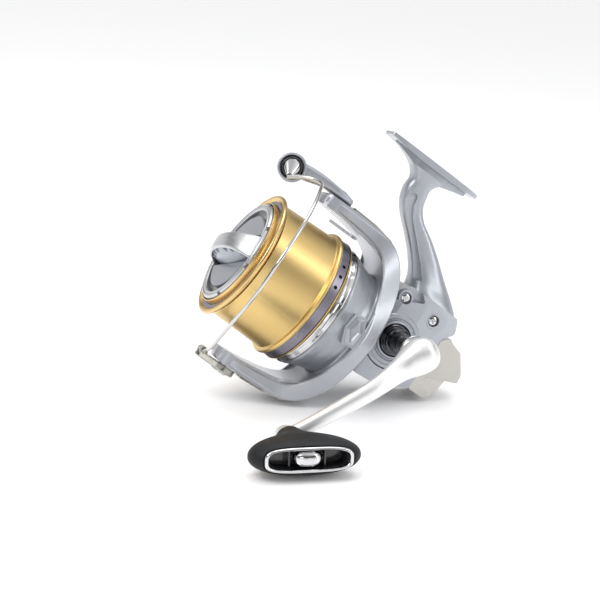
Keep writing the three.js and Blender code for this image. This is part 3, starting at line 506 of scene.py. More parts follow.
finish("felt_inside", "felt", (0.06, 0.058, 0.055), 0.0, 0.9, 0.1, (0.04, 0.04, 0.038), grain="felt",
       bump=0.5, sheen=0.3)
finish("rubber_inside", "rubber", (0.03, 0.03, 0.03), 0.0, 0.6, 0.1, grain="moulded",
       bump=0.2)
finish("black_inside", "black", (0.02, 0.02, 0.02), 0.0, 0.25, 0.1, grain="moulded",
       bump=0.1)
finish("nickel_inside", "nickel", (0.52, 0.51, 0.47), 1.0, 0.22, 0.1, bump=0.08)
finish("chrome_inside", "chrome", (0.78, 0.78, 0.79), 1.0, 0.1, 0.06, bump=0.03)

INSIDE = {"steel": "steel_inside", "brass": "brass_inside", "bronze": "bronze_inside",
          "felt": "felt_inside", "rubber": "rubber_inside", "black": "black_inside",
          "nickel": "nickel_inside", "chrome": "chrome_inside", "dark_chrome": "chrome_inside"}
NODE_SLOT = {s["node"]: s["material_slot"] for s in frame["record"]["subparts"]}


# ------------------------------------------------------------------ screws
def cross_screw(head_r, head_t, shank_r, length, axis, at):
    """A crosshead screw with a domed head, its seat at the axis value 0."""
    head = lathe([(-length, 0), (-length, shank_r), (0, shank_r), (0, head_r), (0.45 * head_t, head_r),
                  (0.8 * head_t, 0.82 * head_r), (head_t, 0.45 * head_r), (head_t, 0)],
                 AXIS_X, ZERO, 48, 0.25)
    arms = []
    for turn in (0.4, 0.4 + math.pi / 2):
        half, wide = 0.56 * head_r, 0.14 * head_r
        slot = plate([(-half, -wide), (half, -wide), (half, wide), (-half, wide)],
                     0.35 * head_t, 2 * head_t, "yz")
        arms.append(moved(slot, Matrix.Rotation(turn, 4, "X")))
    core = lathe([(0.1 * head_t, 0), (0.5 * head_t, 0.22 * head_r), (2 * head_t, 0.34 * head_r),
                  (2 * head_t, 0)], AXIS_X, ZERO, 16, 0)
    screw = cut(head, *arms, core)
    turn = AXIS_X.rotation_difference(axis).to_matrix().to_4x4()
    return moved(screw, Matrix.Translation(at) @ turn)


# ------------------------------------------------------------------ body: housing, stem and foot
HOUSING_SIDE = [(15, -13), (10, -18.4), (-10, -17), (-19, -11.5), (-26, -8.5), (-26, 26),
                (-31.6, 32.4), (-27.4, 41), (8, 41), (13.4, 34.5), (15, 28)]
HOUSING_INSIDE = [(13.5, -12), (9.2, -16.5), (-9.5, -15.2), (-18, -9.8), (-24, -6.9), (-28, -6.9),
                  (-28, 24), (-27, 31), (-26, 37), (6.5, 37), (11.8, 34), (13.5, 27.6)]
HOUSING_TOP = [(16, 17.5), (8, 19.6), (-6, 19.6), (-28, 16.2), (-53, 12.6)]
HOUSING_TOP_INSIDE = [(19, 15.8), (8, 17.9), (-6, 17.9), (-28, 14.5), (-53, 10.9)]
SPLIT_Y = 6.2
GAP = 0.3
COVER_SCREWS = {"front": (8, 33), "rear": (-14, 31.5), "lower": (-12.5, -12.4)}

side_round = fillet(HOUSING_SIDE, 2.6)
housing = common(plate(side_round, -30, 30, "xz"), plate(spline(mirrored(HOUSING_TOP), 1, True),
                                                         -40, 60, "xy"))
inside = common(plate(HOUSING_INSIDE, -29, 29, "xz"),
                plate(mirrored(HOUSING_TOP_INSIDE), -39, 59, "xy"))
nose_room = rod(28.8, 10, 24.2, sides=96)

far_half = bevelled(common(housing, block(-60, 60, -40, SPLIT_Y, -60, 60)), 1.1)
far_half = cut(far_half, inside, rod(9.7, -30, -10, AXIS_Y, CRANK_AT), nose_room)

STEM = [(36, 5.5, -31, 14.5), (41.3, 5, -29.5, 13.6), (48, 8, -22, 10.6), (55.5, 14.2, -11.6, 8.4),
        (63, 22.2, -1.6, 7.2), (69.5, 30.1, 8.2, 6.6), (75, 35.8, 18.2, 6.3),
        (80.5, 39.3, 23.6, 6.2), (86.5, 41, 25.9, 6.2), (93, 41.2, 26.6, 6.6), (99, 46, 22, 7.4)]


def stem_ring(row, square=3.2, sides=72):
    z, front, back, half = row
    return oval(Vector(((front + back) / 2, 0, z)), AXIS_X, (front - back) / 2, AXIS_Y, half,
                square, sides)


stem = skin([stem_ring(row) for row in spline(STEM, 6)])
# The stem's long side channels, one each side: (x, z) of the outline.
CHANNEL = [(36.4, 85.6), (38.4, 79.4), (33.6, 72), (22.9, 61.9), (12.1, 51.7), (7.2, 45.4), (1.6, 46.4),
           (7.4, 53.8), (18, 64.2), (27.8, 73.2), (31.6, 79.6), (32.4, 85.4)]
channel_line = fillet(CHANNEL, 2.2)
channels = [plate(channel_line, min(s * 4.7, s * 20), max(s * 4.7, s * 20), "xz") for s in (1, -1)]
stem = bevelled(cut(stem, *channels), 0.5, 40)

FOOT_SIDE = [(66.9, 104.4), (57, 102.4), (48, 99.8), (42, 96.5), (26, 96.5), (15, 99.8),
             (5, 102.2), (0.8, 103.6), (0.8, 106.4), (66.9, 106.4)]
FOOT_TOP = [(66.9, 5.6), (66, 6.8), (56, 7.9), (40, 8.3), (24, 8.3), (10, 7.9), (4, 6.8),
            (1.6, 4.4), (0.8, 2)]
FOOT_BLADE = [(66.9, 104.4), (57, 103.6), (44, 102.6), (24, 102.6), (10, 103.4), (0.8, 104.2),
              (0.8, 106.4), (66.9, 106.4)]
blade = bevelled(common(plate(fillet(FOOT_BLADE, 3, 4), -12, 12, "xz"),
                        plate(fillet(mirrored(FOOT_TOP), 2.5, 6), 90, 110, "xy")), 0.7, 28)
FOOT_RIB = [(60, 1.0), (52, 3.0), (44, 4.6), (36, 5.6), (26, 5.2), (16, 3.2), (8, 1.0)]
rib = bevelled(common(plate(fillet(FOOT_SIDE[:-2] + [(0.8, 105.4), (66.9, 105.4)], 5, 6), -12, 12, "xz"),
                      plate(spline(mirrored(FOOT_RIB), 3, True), 90, 105.6, "xy")), 1.2, 28)
foot = join(blade, rib)
NOSE = [(14, 31.3), (23.5, 31.3), (26, 29), (26.4, 19.3), (38, 19.3), (38, 16.6), (30.9, 16.6),
        (30.9, 9.8), (24.6, 9.8), (24.2, 29), (14, 29)]
boss_far = lathe([(-19, 9.7), (-19, 12.2), (-12.4, 12.2), (-12.4, 9.7)], AXIS_Y, CRANK_AT, 72)
casting = join(far_half, stem, foot, boss_far)
casting = cut(casting, cut(block(-60, 24, SPLIT_Y, 40, -60, 41), rod(34, 15.3, 40, sides=96)))
piece("body_casting", together(casting, lathe(NOSE, sides=96)), "paint_silver", "body",
      ["body_frame"])

near_half = common(housing, block(-60, 60, SPLIT_Y + GAP, 40, -60, 60))
near_half = cut(near_half, block(-60, 13.4, 0, 40, 40.7, 60))
near_half = bevelled(near_half, 0.8)
# The front screw's lug stands in a three-cornered recess.
near_half = cut(near_half, plate(fillet([(18, 28.6), (13, 29.2), (-3.4, 36.4), (5, 45), (18, 45)], 1.2),
                                 15.2, 40, "xz"))
backing = plate([(20, 26), (12, 27), (-7, 35.6), (3, 47), (20, 47)], 13.6, 40, "xz")
boss = lathe([(11, 9.7), (11, 15.6), (19.4, 15.6), (20.4, 14.6), (20.4, 12.6), (19.7, 12.2),
              (19.7, 11.4), (21.2, 10.9), (21.6, 10.2), (21.6, 9.7)], AXIS_Y, CRANK_AT, 128, 0.3)
lugs = [rod(4.6, 14, 18.5 if name == "front" else 19.0, AXIS_Y, Vector((x, 0, z)), 64, 0.5)
        for name, (x, z) in COVER_SCREWS.items()]
near_half = join(cut(near_half, cut(inside, backing), nose_room, rod(15.2, 0, 40, AXIS_Y, CRANK_AT, 96)), boss,
                 *lugs)
holes = [rod(3.45, 16.4, 30, AXIS_Y, Vector((x, 0, z)), 64) for x, z in COVER_SCREWS.values()]
shanks = [rod(1.7, 0, 30, AXIS_Y, Vector((x, 0, z)), 32) for x, z in COVER_SCREWS.values()]
near_half = cut(near_half, *holes, *shanks,
                common(rod(31.6, 0, 40, sides=96), block(13.2, 40, -40, 40, -40, 40)))
# A shallow panel line on the cover, on part of a ring round the boss.
groove = lathe([(17.6, 17.2), (17.6, 17.9), (24, 17.9), (24, 17.2)], AXIS_Y, CRANK_AT, 128, 0)
near_half = cut(near_half, common(groove, block(-14, 12, 0, 40, -12, 9)))
piece("side_cover_shell", near_half, "paint_silver", "body", ["side_cover"])
for place, (x, z) in COVER_SCREWS.items():
    piece("cover_screw_" + place,
          cross_screw(3.05, 1.9, 1.25, 11.5, AXIS_Y, Vector((x, 16.5, z))), "chrome_polished",
          "body", ["side_cover_screw_" + place])

# ------------------------------------------------------------------ rear cover
REAR_UPPER = [(-26.4, 0.9), (-52, 10.2), (-51.2, 15.4), (-42.4, 25.8), (-33, 28.2), (-31.6, 29.6),
              (-26.4, 25.6)]
REAR_LOWER = [(-26.4, -8.4), (-37.6, -8.2), (-41.2, -6), (-43.4, -1.4), (-44.6, 9), (-26.4, 8)]
REAR_INSIDE = [(-20, -6.7), (-37.2, -6.7), (-39.9, -5), (-42.2, -0.9), (-42.6, 7.6), (-49.5, 10.6),
               (-49.8, 14.8), (-42, 23.6), (-35, 26), (-20, 23.6)]
REAR_TOP = [(16, 17), (8, 19.1), (-6, 19.1), (-28, 15.7), (-53, 12.1)]
REAR_TOP_INSIDE = [(16, 15.3), (8, 17.4), (-6, 17.4), (-28, 14), (-53, 10.4)]
upper = common(plate(fillet(REAR_UPPER, 1.6), -30, 30, "xz"), plate(mirrored(REAR_TOP), -40, 60, "xy"))
lower = common(plate(fillet(REAR_LOWER, 2.2), -30, 30, "xz"),
               plate(inset(mirrored(REAR_TOP), 1.3), -40, 60, "xy"))
rear = join(bevelled(upper, 0.9, 28, 4), bevelled(lower, 1.2, 28, 4))
rear = cut(rear, common(plate(REAR_INSIDE, -29, 29, "xz"),
                        plate(mirrored(REAR_TOP_INSIDE), -39, 59, "xy")))
piece("rear_cover_shell", rear, "beige_silver", "body", ["rear_cover"])
piece("rear_screw", cross_screw(2.5, 1.4, 1.2, 6, -AXIS_Y, Vector((-23.5, -17.8, 20))),
      "chrome_polished", "body", ["rear_cover_screw"])

# ------------------------------------------------------------------ crank side: collar, cap, hub
piece("crank_seal_collar", lathe([(16.8, 5.3), (22.4, 5.3), (23.2, 6.2), (22.9, 7.4), (22.3, 7.7),
                                  (22.5, 8.4), (21.4, 9.3), (16.8, 9.3)], AXIS_Y, CRANK_AT, 128),
      "dark_chrome", "body", ["crank_collar"])
cap = lathe([(-17.6, 0), (-24.2, 0), (-24.2, 5.4), (-23.7, 5.8), (-24.2, 6.3), (-23.2, 8.8),
             (-20.6, 9.4), (-17.6, 9.4)], AXIS_Y, CRANK_AT, 128, 0.3)
ribs = [moved(rod(0.55, -24.6, -20, AXIS_Y, Vector((9.5, 0, 0)), 12),
              Matrix.Translation(CRANK_AT) @ Matrix.Rotation(2 * math.pi * k / 36, 4, "Y"))
        for k in range(36)]
cap = cut(cap, *ribs, block(-6, 6, -25, -23.1, CRANK_Z - 0.9, CRANK_Z + 0.9))
piece("handle_cap", cap, "dark_chrome", "body", ["far_side_cap"])

hub = lathe([(-15, 0), (-15, 2.9), (23.6, 2.9), (23.6, 7.5), (25.2, 8), (26.6, 7.6), (27.2, 6.7),
             (28.6, 5.9), (34, 5.2), (35, 5.5), (35.8, 5.5), (36.4, 5.1), (44, 5.2), (45, 6.2),
             (46.4, 6.4), (47, 5.9), (47.6, 6.4), (54.9, 7.2), (54.9, 0)], AXIS_Y, CRANK_AT, 128)
piece("crank_hub_turned", hub, "dark_chrome", "crank", ["crank_hub"])

ALONG = (TIP - CRANK_AT)
ALONG.y = 0
CRANK_REACH = ALONG.length
ALONG.normalize()
ACROSS = Vector((-ALONG.z, 0, ALONG.x))
ROOT_Y, TIP_Y = 63, 78
ARM = [(-9.7, ROOT_Y, 1.2, 1.6), (-9.2, ROOT_Y, 3.6, 3.8), (-7.6, ROOT_Y, 6.8, 6.9),
       (-4.5, ROOT_Y, 9.1, 9.1), (0, ROOT_Y, 9.9, 9.8), (5, ROOT_Y + 0.6, 9.4, 9),
       (11, ROOT_Y + 2, 7.7, 7.3), (18, ROOT_Y + 5.2, 6.2, 5.7), (28, ROOT_Y + 9.8, 5.4, 4.7),
       (40, TIP_Y - 2, 4.9, 4), (60, TIP_Y - 0.4, 4.5, 3.7), (76, TIP_Y, 4.3, 3.6),
       (CRANK_REACH, TIP_Y, 4.3, 3.6)]
arm_rings = [oval(CRANK_AT + ALONG * reach + AXIS_Y * y, ACROSS, half, AXIS_Y, depth, 2.2, 48)
             for reach, y, half, depth in spline(ARM, 8)]
tip_boss = lathe([(TIP_Y - 3.9, 2.9), (TIP_Y + 3.9, 2.9), (TIP_Y + 3.9, 5.2), (TIP_Y + 3.2, 6.1),
                  (TIP_Y + 1.6, 6.5), (TIP_Y - 1.6, 6.5), (TIP_Y - 3.2, 6.1), (TIP_Y - 3.9, 5.2)],
                 AXIS_Y, Vector((TIP.x, 0, TIP.z)), 96, 0.6)
arm = join(skin(arm_rings), tip_boss)
arm = cut(arm, rod(2.9, 60, 100, AXIS_Y, Vector((TIP.x, 0, TIP.z)), 48),
          rod(7.5, 30, 55.2, AXIS_Y, CRANK_AT, 96))
ferrule = lathe([(53.2, 7.6), (53.2, 8.9), (54.1, 9.3), (54.6, 8.9), (55.2, 9.4), (56, 9.4),
                 (56.4, 7.6)], AXIS_Y, CRANK_AT, 128, 0.25)
arm = cut(arm, rod(9.0, 40, 56.0, AXIS_Y, CRANK_AT, 96))
piece("crank_arm_forged", arm, "satin_aluminium", "crank", ["crank_arm"], 40)
piece("crank_ferrule", ferrule, "chrome_polished", "crank")

AT_TIP = Vector((TIP.x, 0, TIP.z))
piece("knob_axle", lathe([(TIP_Y - 4.4, 0), (TIP_Y - 4.4, 4.6), (TIP_Y - 4.15, 4.6),
                          (TIP_Y - 4.15, 2.6), (TIP_Y + 4.2, 2.6), (TIP_Y + 4.2, 3.6),
                          (TIP_Y + 4.8, 3.6), (TIP_Y + 4.8, 2.6), (116, 2.6), (116, 0)],
                         AXIS_Y, AT_TIP, 64, 0.1), "steel_ground", "crank", ["knob_shaft"])

# ------------------------------------------------------------------ knob
SLOPE = math.radians(-34.2)
LONG = Vector((math.cos(SLOPE), 0, math.sin(SLOPE)))
WIDE = Vector((-LONG.z, 0, LONG.x))
GRIP = [(83, 7.2, 7.2, 2), (84, 7.95, 7.95, 2), (88, 8.35, 8.35, 2), (93, 9.8, 8.7, 2), (97, 13.6, 9, 2),
        (101, 21.5, 9.4, 2.1), (105.5, 27.3, 9.85, 2.2), (110.5, 29.3, 9.85, 2.2),
        (115, 28.8, 9.5, 2.2), (118.6, 26.6, 8.4, 2.3), (120.4, 24.6, 7.3, 2.4)]


def face_oval(y, half, wide, square=3.4):
    return oval(AT_TIP + AXIS_Y * y, LONG, half, WIDE, wide, square, 96)


grip = skin([oval(AT_TIP + AXIS_Y * y, LONG, half, WIDE, wide, square, 96)
             for y, half, wide, square in spline(GRIP, 6)])
grip = cut(grip, skin([face_oval(110.5, 20.0, 4.9), face_oval(125, 20.6, 4.9)]),
           skin([face_oval(118.2, 23.6, 7.0), face_oval(125, 23.6, 7.0)]),
           rod(4.7, 70, 100, AXIS_Y, AT_TIP, 64), rod(3, 90, 116, AXIS_Y, AT_TIP, 48))
piece("knob_grip_moulded", grip, "rubber_grip", "knob", ["knob_grip"])
bezel = skin([face_oval(118.5, 23.2, 6.6), face_oval(120.6, 23.25, 6.65), face_oval(121.3, 23.0, 6.4),
              face_oval(121.65, 22.6, 6.0), face_oval(121.75, 22.1, 5.6), face_oval(121.5, 21.5, 5.2),
              face_oval(120.9, 21.1, 4.9), face_oval(118.5, 21.1, 4.9)], closed=True)
piece("knob_bezel_ring", bezel, "chrome_polished", "knob", ["knob_bezel"])
floor_plate = skin([face_oval(110.7, 19.8, 4.7), face_oval(111.4, 19.8, 4.7)])
KNOB_AXES = Matrix((LONG, WIDE, AXIS_Y)).transposed().to_4x4()
ribs = [moved(block(-0.5, 0.5, -4.5, 4.5, 111.3, 116.6, 0.2),
              Matrix.Translation(AT_TIP) @ KNOB_AXES @ Matrix.Translation((side * 9.4, 0, 0)))
        for side in (1, -1)]
well = cut(join(floor_plate, *ribs), rod(3.3, 90, 116, AXIS_Y, AT_TIP, 48))
piece("knob_well", well, "black_gloss", "knob")
DOME = [(112, 7.4, 4.5), (117.4, 7.4, 4.5), (118.6, 7.0, 4.3), (119.8, 6.0, 3.7), (120.7, 4.4, 2.8),
        (121.3, 2.2, 1.4), (121.4, 0.6, 0.4)]
dome = skin([oval(AT_TIP + AXIS_Y * y, LONG, half, WIDE, wide, 2.4, 96)
             for y, half, wide in spline(DOME, 4)])
piece("knob_cap_dome", cut(dome, rod(3.1, 100, 116.2, AXIS_Y, AT_TIP, 48)), "chrome_polished", "knob",
      ["knob_cap"])

# ------------------------------------------------------------------ rotor
# The cup's rim carries the same raised band as the arms; between the band and the collar the cup
# is a cone set back from it.
CUP = [(38.6, 4.3), (47, 4.3), (47, 9.6), (43.4, 9.6), (43.4, 23.6), (58, 23.6), (58, 25.4),
       (43.4, 25.4), (43.4, 32.2), (48.7, 32.2), (48.7, 34.1), (43.4, 34.1), (43.4, 37.2),
       (41.8, 37.4), (36, 34.8), (30, 33.2), (25.6, 32.7), (24.7, 33.2), (24.5, 36.2), (24.1, 36.6),
       (17.2, 36.6), (15.6, 35.2), (15.6, 33.6), (23.6, 33.4), (24.4, 31.7), (31, 31.4), (37, 29.4),
       (40, 26), (38.6, 9)]
ARM_OUTER = [(79.5, 49.4), (79.5, 53.5), (76.5, 56.4), (58, 56.6), (44, 55.8), (32, 53.8),
             (24.6, 49.4), (19, 42.6), (16.2, 34), (15.6, 26)]
ARM_INNER = [(22, 24), (24.8, 31), (28.2, 37.6), (34.5, 42.8), (44, 46), (55, 47.8), (66, 49)]
ARM_TOP = [(79.2, 3.4), (76.6, 7.4), (72.6, 9.6), (66, 10.4), (55, 11.4), (44, 12.8),
           (33, 17.4), (27, 22.5), (22, 28.5), (14, 31)]
ARM_FRONT = [(22, 31), (26, 27), (32, 22.4), (40, 17.6), (48, 13.4), (54, 12.6), (70, 12)]
arm_outline = (fillet(ARM_OUTER[:3], 2, 5, False) + spline(ARM_OUTER[3:], 5)
               + spline(ARM_INNER, 5))
arm_width = mirrored([tuple(p) for p in spline(ARM_TOP, 5)])
front = [(p.y, p.x) for p in spline(ARM_FRONT, 5)]
front += [(-p[0], p[1]) for p in reversed(front)]
arm_raw = common(plate(arm_outline, -32, 32, "xz"), plate(arm_width, 0, 70, "xy"),
                 plate(front, 0, 90, "yz"))
arm_raw = bevelled(chamfered(arm_raw, 2.6), 0.6, 30, 3)
arm_raw = cut(arm_raw, plate(fillet([(30, -5.4), (56, -5.4), (56, 5.4), (30, 5.4)], 1.2),
                             50.6, 60, "xy"),
              rod(2.8, 40, 70, AXIS_Z, Vector((BAIL_X, 0, 0)), 48), rod(33.6, 0, 34, sides=144))
PANEL_X, PANEL_Y = 29.4, 35.2


def panel_outline(grow):
    return [(PANEL_X - 6.0 - grow, 1), (PANEL_X - 2.4 - grow, 9.8 + grow),
            (PANEL_X + 5.0 + grow, 8.6 + grow), (PANEL_X + 6.2 + grow, -1),
            (PANEL_X + 2.4 + grow, -9.8 - grow), (PANEL_X - 5.0 - grow, -8.6 - grow)]


cup = lathe(CUP, sides=192, soft=0.4)
rotor = join(cup, arm_raw, moved(arm_raw, UPSIDE_DOWN))
piece("rotor_casting", rotor, "paint_silver", "rotor", ["rotor"], 30)

# A bevelled band runs down one arm, round the cup's rear rim and up the other, on both sides. Its
# rows give the rear edge and the front edge.
BAND = [((77, 7.6, 55.2), (77, 7.6, 50.8)), ((66, 11.0, 55.3), (66, 11.0, 50.0)),
        ((55, 12.2, 55.0), (55, 12.2, 49.2)), ((44, 13.8, 54.9), (44, 13.9, 47.8)),
        ((32.5, 15.4, 53.8), (35, 17.4, 44.6)), ((25, 17.0, 49.4), (29.8, 21.6, 37.6)),
        ((19.5, 19.4, 42.4), (26.8, 26.2, 29.6)), ((16.4, 24.6, 33), (25.4, 31.4, 20)),
        ((15.4, 32.6, 18.4), (23.6, 35.6, 10)), ((15.2, 37.2, 0), (22.6, 37.2, 0))]
half_rows = [(Vector(a), Vector(b)) for a, b in BAND]
rows = half_rows + [(Vector((a.x, a.y, -a.z)), Vector((b.x, b.y, -b.z)))
                    for a, b in reversed(half_rows[:-1])]
rears = spline([row[0] for row in rows], 6)
fronts = spline([row[1] for row in rows], 6)
rings = []
for rear_edge, front_edge in zip(rears, fronts):
    deep = Vector((0, -2.2, 0))
    slant = (front_edge - rear_edge).normalized() * 0.9
    rings.append([rear_edge + deep, rear_edge - Vector((0, 0.7, 0)), rear_edge + slant,
                  front_edge - slant, front_edge - Vector((0, 0.9, 0)), front_edge + deep])
band = skin(rings)
ACROSS_Y = Matrix.Diagonal((1, -1, 1, 1))
# The band takes the lighter copy of the paint, a painted highlight.
piece("rotor_band", together(band, moved(band, ACROSS_Y)), "paint_band_painted_highlight", "rotor", angle=25)

for name, s in (("near", 1), ("far", -1)):
    y0, y1, y2 = s * 31.9, s * (PANEL_Y + 0.9), s * (PANEL_Y + 1.9)
    base = plate(fillet(panel_outline(0), 0.7), min(y0, y1), max(y0, y1), "xz", 0.35)
    rings = [[Vector((x, y, z)) for x, z in fillet(o, 0.5)] for o, y in
             ((panel_outline(-1.2), y1 - 0.4 * s), (panel_outline(-1.3), y1 + 0.3 * s),
              (panel_outline(-3.2), y2), (panel_outline(-4.0), y2 - 0.7 * s))]
    piece("rotor_facet_" + name, join(base, skin(rings)), "paint_silver", "rotor",
          ["rotor_panel_" + name])

# Polished collar behind the spool, with its short slots.
collar = lathe([(43.8, 34.4), (48.9, 34.4), (48.9, 36.4), (48.5, 37.3), (47.4, 37.7), (46.9, 37.4),
                (46.4, 37.9), (44.6, 38.2), (43.8, 37.8)], sides=192, soft=0.25)
slots = []
for k in range(12):
    slot = block(45.0, 47.9, -2.2 if k % 3 else -0.8, 2.2 if k % 3 else 0.8, 36.4, 40, 0.0)
    slots.append(moved(slot, Matrix.Rotation(2 * math.pi * (k + 0.4) / 12, 4, "X")))
piece("rotor_collar_ring", cut(collar, *slots), "chrome_polished", "rotor", ["rotor_collar"])

# Nickel covers on the backs of the arms.
COVER_SIDE = [(61, 57), (60, 58.2), (44, 57.4), (31.2, 55.3), (23, 50.3), (23.5, 49.3),
              (24.3, 49.8), (31.9, 54.3), (44, 56.2)]
cover = common(plate(fillet(COVER_SIDE, 0.5), -20, 20, "xz"),
               plate(fillet([(61.5, -6), (61.5, 6), (44, 8), (22, 8), (22, -8), (44, -8)], 3, 6),
                     40, 70, "xy"))
cover = bevelled(cover, 0.45, 28)
cover = cut(cover, plate(fillet([(40, -3.4), (56, -3.4), (56, 3.4), (40, 3.4)], 1.6), 57.75, 70, "xy"),
            block(36.6, 37.2, -9, 9, 56.1, 60), block(34.6, 35.2, -9, 9, 55.7, 60))
piece("arm_back_upper", cover, "nickel", "rotor", ["arm_cover_upper"])
piece("arm_back_lower", moved(cover, UPSIDE_DOWN), "nickel", "rotor", ["arm_cover_lower"])

# ------------------------------------------------------------------ bail
PLATE_Z, PLATE_T = 57.2, 3.4
TOP_Z = PLATE_Z + PLATE_T
# Sections of the bail arm from its heel to the roller: x, half width, underside and top.
BAIL_ARM = [(61.3, 1.4, 57.6, 60.2), (61.8, 4.0, 57.25, 60.8), (63.8, 6.5, 57.2, 61.4),
            (68, 8.4, 57.2, 61.9), (73.5, 8.6, 57.2, 62.4), (79, 7.6, 57.2, 62.9),
            (85, 6.6, 55.8, 63.2), (91, 6.0, 54.0, 63.0), (97.5, 5.4, 52.6, 62.2)]


def bail_section(row):
    x, half, low, top = row
    return oval(Vector((x, 0, (low + top) / 2)), AXIS_Y, half, AXIS_Z, (top - low) / 2, 4.0, 48)


bail_bar = skin([bail_section(row) for row in spline(BAIL_ARM, 7)])
housing_shell = lathe([(-4.4, 0), (-4.4, 5.6), (-3.8, 6.8), (-3, 8.1), (3.8, 8.4), (4.8, 8.0),
                       (4.8, 6.9), (-2, 6.9), (-2, 0)], ROLLER_AXIS, ROLLER_AT, 128, 0.35)
bail_bar = cut(bail_bar, rod(7, -2, 12, ROLLER_AXIS, ROLLER_AT, 64))
bail_bar = cut(join(bail_bar, housing_shell),
               rod(2.8, 50, 80, AXIS_Z, Vector((BAIL_X, 0, 0)), 48),
               rod(5.4, TOP_Z - 1.2, 80, AXIS_Z, Vector((BAIL_X, 0, 0)), 64),
               rod(2.2, -8, 8, ROLLER_AXIS, ROLLER_AT, 48))
piece("bail_arm_casting", bail_bar, "paint_silver", "bail", ["bail_arm"], 32)
piece("roller_screw_dome", lathe([(-4.3, 0), (-4.3, 1.8), (5.8, 1.8), (5.8, 2.6), (6.4, 2.6),
                                  (6.6, 0)], ROLLER_AXIS, ROLLER_AT, 96, 0.3),
      "chrome_polished", "bail", ["roller_screw"])
piece("line_roller_turned", lathe([(-1.6, 2.1), (5.4, 2.1), (5.4, 5.5), (4.6, 6), (3.6, 5.9),
                                   (2.6, 5.2), (1.0, 5.2), (0, 6), (-1.0, 6.3), (-1.6, 6.2)],
                                  ROLLER_AXIS, ROLLER_AT, 128, 0.3),
      "black_gloss", "line_roller", ["line_roller"])

HOLDER = [(87.4, 0), (86.6, 3.2), (80, 5.4), (75, 7.4), (69, 8.2), (63.6, 6), (61.4, 2), (61.4, -2),
          (63.6, -6), (69, -8.2), (75, -7.4), (80, -5.6), (86.6, -3.2)]
holder = plate(fillet(HOLDER, 2.4, 6), -TOP_Z - 0.6, -PLATE_Z, "xy", 0.5, 4, 1.1)
boss = rod(2.6, -3.4, 3.6, AXIS_Y, Vector((84.4, 0, -56.8)), 64, 0.5)
relief = plate(fillet([(76, -3), (81, -2.2), (81, 2.2), (76, 3)], 1.2), -70, -TOP_Z + 0.4, "xy")
holder = cut(join(holder, boss), rod(2.8, -80, -50, AXIS_Z, Vector((BAIL_X, 0, 0)), 48),
             rod(5.4, -80, -TOP_Z + 1.2, AXIS_Z, Vector((BAIL_X, 0, 0)), 64), relief)
piece("bail_holder_plate", holder, "nickel", "bail", ["bail_holder"])

WIRE = [(84.4, 4.2, -56.8), (88.2, 22, -52.5), (93.6, 42, -45.4), (98.2, 60, -33.8),
        (100.5, 73, -15.5), (101.7, 77, 6.9), (99.6, 69, 28.4), (97.2, 57.5, 41.4),
        (94.6, 44, 50.2), (92.2, 31, 55.4), (93.6, 24.5, 55.8), (98.3, 18.4, 54.2),
        (104.2, 10.6, 49.4)]


def wire_shape(t):
    flat = max(0.0, min(1.0, (t - 0.86) / 0.08))
    foot_end = max(0.0, 1 - t / 0.03)
    return 1 + 0.55 * flat + 0.5 * foot_end, 1 + 0.1 * flat + 0.5 * foot_end


piece("bail_wire_bent", sweep(spline(WIRE, 14), 1.0, 20, wire_shape), "chrome_wire", "bail",
      ["bail_wire"], 50)
# A slanted chrome cone joins the wire's flattened end to the roller's screw.
WIRE_END = Vector((104.0, 10.2, 50.2))
cone_rows = []
for share, radius in ((0, 4.4), (0.12, 4.3), (0.55, 2.7), (0.85, 1.7), (1, 1.2)):
    middle = (ROLLER_AT + ROLLER_AXIS * 5.9).lerp(WIRE_END, share)
    cone_rows.append(oval(middle, AXIS_Z, radius, ROLLER_AXIS.cross(AXIS_Z), radius, 2, 48))
piece("wire_end_cone", skin(cone_rows), "chrome_polished", "bail")
for name, flip in (("upper", Matrix.Identity(4)), ("lower", UPSIDE_DOWN)):
    screw = lathe([(49, 0), (49, 2.5), (TOP_Z - 0.9, 2.5), (TOP_Z - 0.9, 5.1), (TOP_Z + 1.1, 5.1),
                   (TOP_Z + 1.8, 4.4), (TOP_Z + 1.8, 0)], AXIS_Z, Vector((BAIL_X, 0, 0)), 96, 0.25)
    slot = block(BAIL_X - 3.2, BAIL_X + 3.2, -0.45, 0.45, TOP_Z + 1.0, TOP_Z + 3)
    piece("pivot_screw_" + name, moved(cut(screw, slot), flip), "chrome_polished", "rotor",
          ["bail_pivot_screw_" + name])

# ------------------------------------------------------------------ spool
LIP_X, LIP_R = 98.5, 39.5
SPOOL = [(68, 4.9), (80, 4.9), (80, 8), (77, 8), (77, 22.6), (92, 22.6), (92, 24.4), (80, 24.4),
         (80, 33), (94.2, 33), (94.2, 36.2), (59.5, 37.6), (59.1, 38.6), (58.9, 39.6), (58.1, 40.1),
         (56.9, 40.1), (56.9, 37), (50, 37), (50, 35.5), (74, 34.6), (74, 9.5), (68, 8.5)]
piece("spool_body", lathe(SPOOL, sides=256, soft=0.3), "gold_turned", "spool", ["spool"])
lip = [(94.6, 33.4), (96.6, 33.4), (97.0, 34.6), (97.0, 36.0), (97.8, 36.7), (98.5, 37.6),
       (LIP_X, 38.3), (98.2, 39.2), (97.2, LIP_R), (96.2, 39.2), (95.2, 37.2), (94.6, 36.3)]
piece("spool_lip", lathe(lip, sides=256, soft=0.4, steps=4), "gold_lip", "spool",
      ["spool_lip_ring"])
